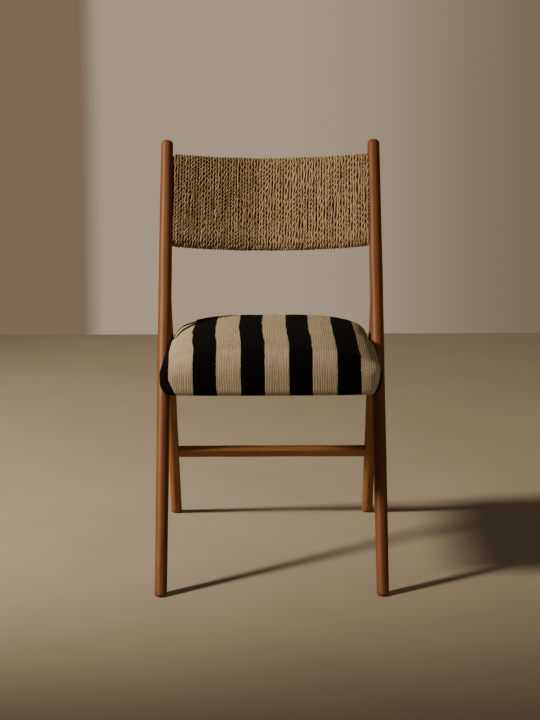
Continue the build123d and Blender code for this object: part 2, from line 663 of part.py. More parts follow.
def strap_tack_points():
    """Points on top of the straps, over the middle of the lap on each rail."""
    points = []
    for index in range(STRAP_COUNT):
        step = index - (STRAP_COUNT - 1) / 2
        for side in (-1, 1):
            lap_y = FRAME_MID_Y + side * (FRAME_INNER_DEPTH + STRAP_LAP) / 2
            points.append((step * STRAP_SPACING_X, lap_y, RAIL_TOP + STRAP_THICKNESS))
            lap_x = side * (RAIL_INNER_X + STRAP_LAP / 2)
            points.append((lap_x, FRAME_MID_Y + step * STRAP_SPACING_Y, WEBBING_TOP))
    return points


with BuildPart() as webbing_tacks:
    for point in strap_tack_points():
        add_tacks(Plane(origin=point))

with BuildPart() as webbing_lengthwise:
    with Locations((0, FRAME_MID_Y, RAIL_TOP)):
        with GridLocations(STRAP_SPACING_X, 0, STRAP_COUNT, 1):
            Box(
                STRAP_WIDTH,
                FRAME_INNER_DEPTH + 2 * STRAP_LAP,
                STRAP_THICKNESS,
                align=(Align.CENTER, Align.CENTER, Align.MIN),
            )
    add(webbing_tacks.part, mode=Mode.SUBTRACT)

with BuildPart() as webbing_crosswise:
    with Locations((0, FRAME_MID_Y, SIDE_RAIL_TOP)):
        with GridLocations(0, STRAP_SPACING_Y, 1, STRAP_COUNT):
            Box(
                2 * (RAIL_INNER_X + STRAP_LAP),
                STRAP_WIDTH,
                STRAP_THICKNESS,
                align=(Align.CENTER, Align.CENTER, Align.MIN),
            )
    add(webbing_tacks.part, mode=Mode.SUBTRACT)

# The cover's tacks stand in a rectangle on the underside, through dust cover and turned edge.
TACK_HALF_X = RAIL_OUTER_X - COVER_TACK_INSET
TACK_HALF_Y = (RAIL_REAR_Y - RAIL_FRONT_Y) / 2 - COVER_TACK_INSET
TACK_PITCH_X = 2 * TACK_HALF_X / COVER_TACKS_ACROSS
TACK_PITCH_Y = 2 * TACK_HALF_Y / COVER_TACKS_ALONG


def cover_tack_points():
    """Points on the underside, evenly spaced along all four sides, clear of the corners."""
    points = []
    for index in range(COVER_TACKS_ACROSS):
        x = (index + 0.5) * TACK_PITCH_X - TACK_HALF_X
        for y in (FRAME_MID_Y - TACK_HALF_Y, FRAME_MID_Y + TACK_HALF_Y):
            points.append((x, y, SEAT_UNDERSIDE))
    for index in range(COVER_TACKS_ALONG):
        y = FRAME_MID_Y + (index + 0.5) * TACK_PITCH_Y - TACK_HALF_Y
        for x in (-TACK_HALF_X, TACK_HALF_X):
            points.append((x, y, SEAT_UNDERSIDE))
    return points


with BuildPart() as cover_tacks:
    for point in cover_tack_points():
        add_tacks(Plane(origin=point, x_dir=(1, 0, 0), z_dir=(0, 0, -1)))

seat_right_rail = make_side_rail()

with BuildPart() as seat_left_rail:
    mirror(seat_right_rail.part, about=Plane.YZ)


def make_end_rail(front_y):
    """Front or rear rail of the seat frame, between the side rails."""
    with BuildPart() as rail:
        axis_box(
            (-RAIL_INNER_X, RAIL_INNER_X),
            (front_y, front_y + SEAT_RAIL_THICKNESS),
            (RAIL_BOTTOM, RAIL_TOP),
        )
        add(pad_inside.part, mode=Mode.INTERSECT)
        cut_from_frame()
    return rail


seat_front_rail = make_end_rail(RAIL_FRONT_Y)
seat_rear_rail = make_end_rail(RAIL_INNER_REAR_Y)


# ---------------------------------------------------------------- seat pad
def cut_spacer_holes(radius):
    """Holes along both seat bolts on both sides, through cover and padding."""
    for bolt_y in (POST_BOLT_Y, LEG_BOLT_Y):
        with Locations(bolt_plane(0, bolt_y)):
            Cylinder(radius, POST_SPACING, mode=Mode.SUBTRACT)


frame_block_limits = (
    (-RAIL_OUTER_X, RAIL_OUTER_X),
    (RAIL_FRONT_Y, RAIL_REAR_Y),
    (0, WEBBING_TOP + TACK_HEAD_HEIGHT),
)

with BuildPart() as seat_foam:
    add(pad_inside.part)
    axis_box(*frame_block_limits, mode=Mode.SUBTRACT)
    cut_spacer_holes(SPACER_DIAMETER / 2)

with BuildPart() as seat_cover:
    add(pad_outside.part)
    add(pad_inside.part, mode=Mode.SUBTRACT)
    axis_box(
        (COVER_TURN - RAIL_OUTER_X, RAIL_OUTER_X - COVER_TURN),
        (RAIL_FRONT_Y + COVER_TURN, RAIL_REAR_Y - COVER_TURN),
        (0, RAIL_TOP),
        mode=Mode.SUBTRACT,
    )
    cut_spacer_holes(SPACER_DIAMETER / 2)
    add(cover_tacks.part, mode=Mode.SUBTRACT)

with BuildPart() as dust_cover:
    axis_box(
        (DUST_COVER_INSET - RAIL_OUTER_X, RAIL_OUTER_X - DUST_COVER_INSET),
        (RAIL_FRONT_Y + DUST_COVER_INSET, RAIL_REAR_Y - DUST_COVER_INSET),
        (SEAT_UNDERSIDE, COVER_UNDERSIDE),
    )
    add(cover_tacks.part, mode=Mode.SUBTRACT)

# ---------------------------------------------------------------- seat fastening
BOLT_YS = (POST_BOLT_Y, LEG_BOLT_Y)

with BuildPart() as seat_bolts:
    for bolt_y in BOLT_YS:
        with Locations(bolt_plane(BOLT_SEAT_X, bolt_y)):
            Cylinder(BOLT_HEAD_DIAMETER / 2, BOLT_HEAD_HEIGHT, align=(Align.CENTER, Align.CENTER, Align.MIN))
            Cylinder(BOLT_DIAMETER / 2, BOLT_SEAT_X - BOLT_TIP_X, align=(Align.CENTER, Align.CENTER, Align.MAX))
    mirror(about=Plane.YZ)

with BuildPart() as tee_nuts:
    for bolt_y in BOLT_YS:
        with Locations(bolt_plane(RAIL_INNER_X, bolt_y)):
            Cylinder(
                TEE_FLANGE_DIAMETER / 2,
                TEE_FLANGE_THICKNESS,
                align=(Align.CENTER, Align.CENTER, Align.MAX),
            )
            Cylinder(TEE_BARREL_DIAMETER / 2, TEE_BARREL_LENGTH, align=(Align.CENTER, Align.CENTER, Align.MIN))
            Cylinder(BOLT_DIAMETER / 2, 2 * TEE_FLANGE_DIAMETER, mode=Mode.SUBTRACT)
    mirror(about=Plane.YZ)

with BuildPart() as seat_spacers:
    for bolt_y in BOLT_YS:
        with Locations(bolt_plane(RAIL_OUTER_X, bolt_y)):
            Cylinder(
                SPACER_DIAMETER / 2,
                SEAT_HALF_WIDTH - RAIL_OUTER_X,
                align=(Align.CENTER, Align.CENTER, Align.MIN),
            )
            Cylinder(BOLT_DIAMETER / 2 + BOLT_CLEARANCE, POST_SPACING, mode=Mode.SUBTRACT)
    mirror(about=Plane.YZ)

# Plugs are cut flush with the round of the post or leg.
with BuildPart() as bolt_plugs:
    for bolt_y in BOLT_YS:
        with Locations(bolt_plane(BOLT_SEAT_X + BOLT_HEAD_HEIGHT, bolt_y)):
            Cylinder(PLUG_DIAMETER / 2, BOLT_HEAD_DIAMETER, align=(Align.CENTER, Align.CENTER, Align.MIN))
    add(post_blank.part + leg_blank.part, mode=Mode.INTERSECT)
    mirror(about=Plane.YZ)


# ---------------------------------------------------------------- feet
def make_glides(centres):
    """Round glides under a pair of feet, each moulded over the head of its nail."""
    with BuildPart() as glides:
        with Locations(*centres):
            Cylinder(GLIDE_DIAMETER / 2, GLIDE_THICKNESS, align=(Align.CENTER, Align.CENTER, Align.MIN))
        chamfer(glides.faces().filter_by(Axis.Z).group_by(Axis.Z)[0].edges(), GLIDE_CHAMFER)
        add(glide_nails.part, mode=Mode.SUBTRACT)
    return glides


with BuildPart() as glide_nails:
    with Locations(*[(*centre, NAIL_HEAD_COVER) for centre in GLIDE_CENTRES]):
        Cylinder(NAIL_HEAD_DIAMETER / 2, NAIL_HEAD_HEIGHT, align=(Align.CENTER, Align.CENTER, Align.MIN))
        Cylinder(NAIL_DIAMETER / 2, NAIL_LENGTH, align=(Align.CENTER, Align.CENTER, Align.MIN))

front_glides = make_glides(GLIDE_CENTRES[:2])
rear_glides = make_glides(GLIDE_CENTRES[2:])

# ---------------------------------------------------------------- export
pieces = {
    "left_post": left_post,
    "right_post": right_post,
    "left_rear_leg": left_rear_leg,
    "right_rear_leg": right_rear_leg,
    "leg_dowels": leg_dowels,
    "rear_stretcher": rear_stretcher,
    "back_top_rail": back_top_rail,
    "back_bottom_rail": back_bottom_rail,
    "rope_winding": rope_winding,
    "rope_tacks": rope_tacks,
    "seat_left_rail": seat_left_rail,
    "seat_right_rail": seat_right_rail,
    "seat_front_rail": seat_front_rail,
    "seat_rear_rail": seat_rear_rail,
    "frame_dowels": frame_dowels,
    "corner_blocks": corner_blocks,
    "corner_block_screws": corner_block_screws,
    "webbing_lengthwise": webbing_lengthwise,
    "webbing_crosswise": webbing_crosswise,
    "webbing_tacks": webbing_tacks,
    "seat_foam": seat_foam,
    "seat_cover": seat_cover,
    "dust_cover": dust_cover,
    "cover_tacks": cover_tacks,
    "seat_bolts": seat_bolts,
    "tee_nuts": tee_nuts,
    "seat_spacers": seat_spacers,
    "bolt_plugs": bolt_plugs,
    "front_glides": front_glides,
    "rear_glides": rear_glides,
    "glide_nails": glide_nails,
}

os.makedirs("parts", exist_ok=True)
for name, piece in pieces.items():
    piece.part.label = name
    export_step(piece.part, f"parts/{name}.step")
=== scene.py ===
"""Dresses a low side chair: turned posts and legs, a rope-wound back and a striped padded seat.

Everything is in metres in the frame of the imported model: +Z up, the chair faces -Y, X = 0 is its mid-plane.
"""

import logging
import math
from dataclasses import dataclass, field
from enum import Enum
from typing import Sequence

import bpy
import numpy as np
from mathutils import Matrix, Vector


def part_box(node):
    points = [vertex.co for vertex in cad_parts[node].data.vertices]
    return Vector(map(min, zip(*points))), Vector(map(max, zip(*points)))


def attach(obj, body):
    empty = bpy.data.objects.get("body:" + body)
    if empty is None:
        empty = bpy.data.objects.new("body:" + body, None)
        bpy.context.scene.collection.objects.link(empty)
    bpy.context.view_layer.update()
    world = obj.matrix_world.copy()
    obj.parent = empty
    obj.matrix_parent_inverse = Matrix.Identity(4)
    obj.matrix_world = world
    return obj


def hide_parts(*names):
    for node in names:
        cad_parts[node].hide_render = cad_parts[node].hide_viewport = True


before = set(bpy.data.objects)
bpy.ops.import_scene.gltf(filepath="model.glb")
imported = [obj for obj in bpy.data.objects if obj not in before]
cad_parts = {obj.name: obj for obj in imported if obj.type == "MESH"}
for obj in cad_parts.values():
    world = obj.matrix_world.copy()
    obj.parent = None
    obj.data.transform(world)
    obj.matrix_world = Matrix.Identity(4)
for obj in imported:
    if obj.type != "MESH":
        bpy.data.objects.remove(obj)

LOG = logging.getLogger("chair")
MM = 0.001
FULL_TURN = 2 * math.pi
QUARTER_TURN = math.pi / 2
Colour = tuple[float, float, float]
Triple = tuple[float, float, float]


class Side(Enum):
    """Which side of the chair a piece is on, as the sign of its X."""

    LEFT = -1
    RIGHT = 1


class Coordinates(Enum):
    """Where a material reads its pattern's coordinates: the object's own, or the ones kept on its points."""

    OBJECT = "object"
    GRAIN = "grain"


# ---------------------------------------------------------------- meshes


@dataclass
class Shell:
    """A surface.

    Attributes:
        points: its points, three numbers each.
        faces: index arrays, one for each number of corners.
        fields: values kept on the points, one or three numbers each.
    """

    points: np.ndarray
    faces: list[np.ndarray]
    fields: dict[str, np.ndarray] = field(default_factory=dict)


def ring_quads(rows: int, columns: int) -> np.ndarray:
    """Quads between rings that lie one on the other, each ring closed on itself.

    Args:
        rows: number of rings.
        columns: number of points on each ring.

    Returns:
        Vertex indices, four to a face.
    """
    index = np.arange(rows * columns).reshape(rows, columns)
    beside = np.roll(index, -1, axis=1)
    return np.stack([index[:-1], beside[:-1], beside[1:], index[1:]], axis=-1).reshape(-1, 4)


def pole_fan(pole: int, ring: np.ndarray) -> np.ndarray:
    """Triangles from a pole to a closed ring, turning against the ring's own direction."""
    return np.stack([np.full_like(ring, pole), np.roll(ring, -1), ring], axis=-1)


def with_poles(values: np.ndarray) -> np.ndarray:
    """A grid's values in one row, and after them the means of its first and of its last ring."""
    poles = np.stack([values[0].mean(axis=0), values[-1].mean(axis=0)])
    return np.concatenate([values.reshape(-1, *values.shape[2:]), poles])


def close_rings(
    grid: np.ndarray, fields: dict[str, np.ndarray], inside_out: bool = False, last_open: bool = False
) -> Shell:
    """Closes rings of points with a fan round a pole at each end.

    Args:
        grid: the rings, rows by columns.
        fields: values on the same grid.
        inside_out: turns the faces over, for rings that run the other way.
        last_open: leaves the last ring open.

    Returns:
        The shell, its poles after its other points.
    """
    rows, columns = grid.shape[:2]
    total = rows * columns
    index = np.arange(total).reshape(rows, columns)
    faces = [ring_quads(rows, columns), pole_fan(total, index[0]), pole_fan(total + 1, index[-1])[:, ::-1]]
    if last_open:
        faces = faces[:2]
    last = total + len(faces) - 1
    return Shell(
        with_poles(grid)[:last],
        [part[:, ::-1] if inside_out else part for part in faces],
        {key: with_poles(values)[:last] for key, values in fields.items()},
    )


def join_shells(shells: Sequence[Shell]) -> Shell:
    """Several shells with the same fields as one, their faces renumbered."""
    starts = np.cumsum([0] + [len(shell.points) for shell in shells])
    return Shell(
        np.concatenate([shell.points for shell in shells]),
        [part + start for shell, start in zip(shells, starts) for part in shell.faces],
        {key: np.concatenate([shell.fields[key] for shell in shells]) for key in shells[0].fields},
    )


def make_object(name: str, shell: Shell, material: bpy.types.Material) -> bpy.types.Object:
    """Makes a smooth mesh object at the origin, its place in its mesh.

    Args:
        name: the object's name.
        shell: its surface.
        material: its finish.

    Returns:
        The new object.
    """
    mesh = bpy.data.meshes.new(name)
    polygons = [face for part in shell.faces for face in part.tolist()]
    mesh.from_pydata(shell.points.reshape(-1, 3).tolist(), [], polygons)
    for key, values in shell.fields.items():
        keep_on_points(mesh, key, values)
    mesh.materials.append(material)
    smooth_faces(mesh)
    mesh.update()
    made = bpy.data.objects.new(name, mesh)
    bpy.context.scene.collection.objects.link(made)
    return made


def keep_on_points(mesh: bpy.types.Mesh, name: str, values: np.ndarray) -> None:
    """Keeps one or three numbers on each point of a mesh under a name."""
    kind, slot = ("FLOAT_VECTOR", "vector") if values.ndim > 1 else ("FLOAT", "value")
    layer = mesh.attributes.new(name, kind, "POINT")
    layer.data.foreach_set(slot, values.astype(np.float32).ravel())


def smooth_faces(mesh: bpy.types.Mesh) -> None:
    """Shades every face of a mesh smooth."""
    mesh.polygons.foreach_set("use_smooth", np.ones(len(mesh.polygons), bool))


def apply_modifiers(piece: bpy.types.Object) -> None:
    """Makes a piece's modifiers part of its mesh."""
    graph = bpy.context.evaluated_depsgraph_get()
    mesh = bpy.data.meshes.new_from_object(piece.evaluated_get(graph), depsgraph=graph)
    materials = list(piece.data.materials)
    piece.modifiers.clear()
    piece.data = mesh
    if not mesh.materials:
        for material in materials:
            mesh.materials.append(material)
    smooth_faces(mesh)


def read_points(mesh: bpy.types.Mesh) -> np.ndarray:
    """A mesh's points, three numbers each."""
    values = np.empty(len(mesh.vertices) * 3, np.float32)
    mesh.vertices.foreach_get("co", values)
    return values.reshape(-1, 3).astype(float)


def read_normals(mesh: bpy.types.Mesh) -> np.ndarray:
    """The mesh's normals at its points, three numbers each."""
    values = np.empty(len(mesh.vertices) * 3, np.float32)
    mesh.vertex_normals.foreach_get("vector", values)
    return values.reshape(-1, 3).astype(float)


def write_points(mesh: bpy.types.Mesh, points: np.ndarray) -> None:
    """Moves a mesh's points."""
    mesh.vertices.foreach_set("co", points.astype(np.float32).ravel())
    mesh.update()


def declare(piece: bpy.types.Object, slot: str, *nodes: str) -> None:
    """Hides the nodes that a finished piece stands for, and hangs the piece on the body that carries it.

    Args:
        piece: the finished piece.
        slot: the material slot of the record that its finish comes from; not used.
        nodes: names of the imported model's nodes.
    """
    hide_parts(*nodes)
    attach(piece, "root")
    LOG.info("%s: %d faces", piece.name, len(piece.data.polygons))


# ---------------------------------------------------------------- irregularity by hand


def ease(share: np.ndarray) -> np.ndarray:
    """Smooth step: three times the square less twice the cube, held at 0 and 1."""
    held = np.clip(share, 0, 1)
    return held * held * (3 - 2 * held)


@dataclass(frozen=True)
class Wander:
    """Smooth irregular variation: a sum of sines, each quicker and lower than the one before.

    Attributes:
        height: about the most that it reaches either way.
        rate: turns of the slowest sine to a unit.
        seed: picks the sines' phases and frequencies.
        terms: number of sines.
    """

    height: float
    rate: float
    seed: int
    terms: int = 4

    QUICKER = 1.7
    LOWER = 1.45
    UNEVEN = (0.85, 1.15)

    def at(self, values: np.ndarray) -> np.ndarray:
        """The variation at each value."""
        source = np.random.default_rng(self.seed)
        total = np.zeros_like(values, dtype=float)
        for term in range(self.terms):
            rate = self.rate * self.QUICKER**term * source.uniform(*self.UNEVEN)
            total += np.sin(FULL_TURN * (rate * values + source.uniform())) / self.LOWER**term
        return self.height * total / 2


# ---------------------------------------------------------------- finishes


@dataclass(frozen=True)
class Noise:
    """Smooth noise from 0 to 1.

    Attributes:
        scale: features to the metre.
        detail: number of finer layers.
        roughness: strength of each finer layer beside the last.
        stretch: scale on each axis; less than 1 draws the noise out along that axis.
    """

    scale: float
    detail: float = 2.0
    roughness: float = 0.5
    stretch: Triple | None = None


@dataclass(frozen=True)
class Ramp:
    """A smooth change from one value to another between a low and a high input, held at both ends."""

    low: float
    high: float
    at_low: float = 0.0
    at_high: float = 1.0


@dataclass(frozen=True)
class Relief:
    """Depth in metres of a material's relief, and how much of it shows."""

    depth: float
    strength: float


def shaded(colour: Colour, share: float) -> Colour:
    """A colour at a share of its brightness."""
    return tuple(share * part for part in colour)


@dataclass(frozen=True, eq=False)
class Signal:
    """A node's output, of which sums, products and ramps can be made."""

    nodes: "Nodes"
    socket: bpy.types.NodeSocket

    def maths(self, operation: str, other: "Signal | float" = 0.0) -> "Signal":
        """One arithmetic step on this value and another."""
        return self.nodes.add("ShaderNodeMath", {0: self, 1: other}, operation=operation)

    def __add__(self, other: "Signal | float") -> "Signal":
        """The sum."""
        return self.maths("ADD", other)

    def __sub__(self, other: "Signal | float") -> "Signal":
        """The difference."""
        return self.maths("SUBTRACT", other)

    def __mul__(self, other: "Signal | float") -> "Signal":
        """The product."""
        return self.maths("MULTIPLY", other)

    def __truediv__(self, other: "Signal | float") -> "Signal":
        """The quotient."""
        return self.maths("DIVIDE", other)

    def fit(self, ramp: Ramp) -> "Signal":
        """The value taken through a ramp."""
        inputs = {"Value": self, "From Min": ramp.low, "From Max": ramp.high}
        inputs |= {"To Min": ramp.at_low, "To Max": ramp.at_high}
        return self.nodes.add("ShaderNodeMapRange", inputs, interpolation_type="SMOOTHSTEP")

    def swing(self) -> "Signal":
        """A value from -1 to 1 moved to between 0 and 1."""
        return self * 0.5 + 0.5


Value = Signal | float | Sequence[float]


class Nodes:
    """Short calls that add nodes to a tree."""

    def __init__(self, tree: bpy.types.NodeTree) -> None:
        """Keeps the tree."""
        self.tree = tree

    def put(self, socket: bpy.types.NodeSocket, value: Value) -> None:
        """Links a socket to a signal, or sets it to a constant; a colour gets its fourth number."""
        if isinstance(value, Signal):
            self.tree.links.new(value.socket, socket)
        else:
            socket.default_value = (*value, 1.0) if socket.type == "RGBA" else value

    def add(
        self, kind: str, inputs: dict[str | int, Value], output: str | int = 0, **settings: object
    ) -> Signal:
        """Adds a node.

        Args:
            kind: the node's type.
            inputs: sockets by name or number, and what goes into them.
            output: name or number of the output that is wanted.
            settings: the node's own properties.

        Returns:
            That output.
        """
        node = self.tree.nodes.new(kind)
        for key, value in settings.items():
            setattr(node, key, value)
        for key, value in inputs.items():
            self.put(node.inputs[key], value)
        return Signal(self, node.outputs[output])

    def split(self, vector: Signal) -> list[Signal]:
        """The three parts of a vector."""
        first = self.add("ShaderNodeSeparateXYZ", {"Vector": vector})
        return [Signal(self, socket) for socket in first.socket.node.outputs]

    def blend(self, share: Value, first: Value, second: Value) -> Signal:
        """Two colours mixed by a share of the second."""
        return self.add("ShaderNodeMix", {0: share, 6: first, 7: second}, 2, data_type="RGBA")


class Shader(Nodes):
    """A material under construction, with a principled surface."""

    def __init__(self, name: str) -> None:
        """Starts an empty material of that name."""
        self.material = bpy.data.materials.new(name)
        self.material.use_nodes = True
        super().__init__(self.material.node_tree)
        self.tree.nodes.clear()
        self.surface = self.tree.nodes.new("ShaderNodeBsdfPrincipled")
        output = self.tree.nodes.new("ShaderNodeOutputMaterial")
        self.tree.links.new(self.surface.outputs["BSDF"], output.inputs["Surface"])

    def coordinates(self, source: Coordinates = Coordinates.OBJECT) -> Signal:
        """The pattern's coordinates, in metres."""
        if source is Coordinates.OBJECT:
            return self.add("ShaderNodeTexCoord", {}, "Object")
        return self.attribute(source.value, "Vector")

    def attribute(self, name: str, output: str = "Fac") -> Signal:
        """A value kept on the mesh's points."""
        return self.add("ShaderNodeAttribute", {}, output, attribute_name=name)

    def stretch(self, vector: Signal, scale: Triple) -> Signal:
        """Coordinates times a scale on each axis."""
        return self.add("ShaderNodeMapping", {"Vector": vector, "Scale": scale})

    def noise(self, vector: Signal, noise: Noise) -> Signal:
        """Noise at the coordinates."""
        place = self.stretch(vector, noise.stretch) if noise.stretch else vector
        inputs = {"Vector": place, "Scale": noise.scale, "Detail": noise.detail, "Roughness": noise.roughness}
        return self.add("ShaderNodeTexNoise", inputs, "Fac")

    def finish(
        self,
        colour: Value,
        roughness: Value,
        height: Signal,
        relief: Relief,
        levels: dict[str, float] | None = None,
    ) -> bpy.types.Material:
        """Joins colour, roughness and relief to the surface.

        Args:
            colour: base colour.
            roughness: roughness.
            height: the relief, from 0 to 1.
            relief: its depth and strength.
            levels: other inputs of the surface by name.

        Returns:
            The finished material.
        """
        bump = {"Height": height, "Distance": relief.depth, "Strength": relief.strength}
        inputs = {"Base Color": colour, "Roughness": roughness, "Normal": self.add("ShaderNodeBump", bump)}
        for name, value in (inputs | (levels or {})).items():
            self.put(self.surface.inputs[name], value)
        return self.material


@dataclass(frozen=True)
class WoodFinish:
    """Oiled hardwood: long streaks and bands of tone, slow clouds over them, and short dark pores."""

    name: str
    pale: Colour
    deep: Colour
    source: Coordinates = Coordinates.GRAIN
    grain_stretch: Triple = (1.0, 1.0, 0.035)
    roughness: float = 0.52
    smoother: float = 0.06
    rougher: float = 0.10
    coat: float = 0.03
    coat_roughness: float = 0.32
    shine: float = 0.16
    streaks: Noise = Noise(260.0, 5.0, 0.62)
    bands: Noise = Noise(70.0)
    clouds: Noise = Noise(9.0)
    pores: Noise = Noise(1500.0, 2.0, 0.6)
    streak_share: float = 0.55
    band_share: float = 0.55
    tone_ramp: Ramp = Ramp(0.36, 0.74)
    cloud_ramp: Ramp = Ramp(0.35, 0.70, 0.0, 0.30)
    pore_ramp: Ramp = Ramp(0.60, 0.74)
    pore_share: float = 0.42
    pore_shade: float = 0.35
    height_share: float = 0.5
    relief: Relief = Relief(0.22 * MM, 0.5)

    def make(self) -> bpy.types.Material:
        """Streaks, bands and pores are noise drawn out along the grain; pores are cut from the finest."""
        shader = Shader(self.name)
        place = shader.coordinates(self.source)
        along = shader.stretch(place, self.grain_stretch)
        streaks = shader.noise(along, self.streaks)
        pores = shader.noise(along, self.pores).fit(self.pore_ramp)
        share = streaks * self.streak_share + shader.noise(along, self.bands) * self.band_share
        tone = shader.blend(share.fit(self.tone_ramp), self.pale, self.deep)
        clouded = shader.blend(shader.noise(place, self.clouds).fit(self.cloud_ramp), tone, self.deep)
        colour = shader.blend(pores * self.pore_share, clouded, shaded(self.deep, self.pore_shade))
        roughness = streaks.fit(Ramp(0.2, 0.8, self.roughness - self.smoother, self.roughness + self.rougher))
        height = streaks * self.height_share - pores * self.height_share
        levels = {"Coat Weight": self.coat, "Coat Roughness": self.coat_roughness}
        levels["Specular IOR Level"] = self.shine
        return shader.finish(colour, roughness, height, self.relief, levels)


@dataclass(frozen=True)
class RopeFinish:
    """Twisted dry grass: straw, bleached and husk-brown blades, with painted shade deep between the plies."""

    name: str
    straw: Colour = (0.41, 0.279, 0.124)
    husk: Colour = (0.152, 0.087, 0.033)
    bleached: Colour = (0.61, 0.465, 0.252)
    # painted shade deep between the plies
    sunk: Colour = (0.028, 0.015, 0.006)
    blade_stretch: Triple = (1.0, 1.0, 0.07)
    fine: Noise = Noise(1500.0, 4.0, 0.65)
    wide: Noise = Noise(480.0)
    tone_ramp: Ramp = Ramp(0.0, 1.0)
    bleached_ramp: Ramp = Ramp(0.48, 0.72, 0.0, 0.55)
    husk_ramp: Ramp = Ramp(0.42, 0.62, 0.55, 0.0)
    sunk_ramp: Ramp = Ramp(0.22, 0.82, 0.90, 0.0)
    roughness: Ramp = Ramp(0.3, 0.7, 0.82, 0.58)
    fine_height: float = 0.7
    wide_height: float = 0.3
    relief: Relief = Relief(0.6 * MM, 0.9)
    shine: float = 0.30

    def make(self) -> bpy.types.Material:
        """The strand's tone picks straw or husk, noise drawn out along the strand adds single blades.

        What lies deep between the plies is painted dark, as painted shade.
        """
        shader = Shader(self.name)
        blades = shader.stretch(shader.coordinates(Coordinates.GRAIN), self.blade_stretch)
        fine, wide = shader.noise(blades, self.fine), shader.noise(blades, self.wide)
        base = shader.blend(shader.attribute("tone").fit(self.tone_ramp), self.husk, self.straw)
        lit = shader.blend(wide.fit(self.bleached_ramp), base, self.bleached)
        streaked = shader.blend(fine.fit(self.husk_ramp), lit, self.husk)
        # painted shade: the deeper a point of a ply lies, the darker it is painted
        colour = shader.blend(shader.attribute("depth").fit(self.sunk_ramp), streaked, self.sunk)
        height = fine * self.fine_height + wide * self.wide_height
        levels = {"Specular IOR Level": self.shine}
        return shader.finish(colour, fine.fit(self.roughness), height, self.relief, levels)


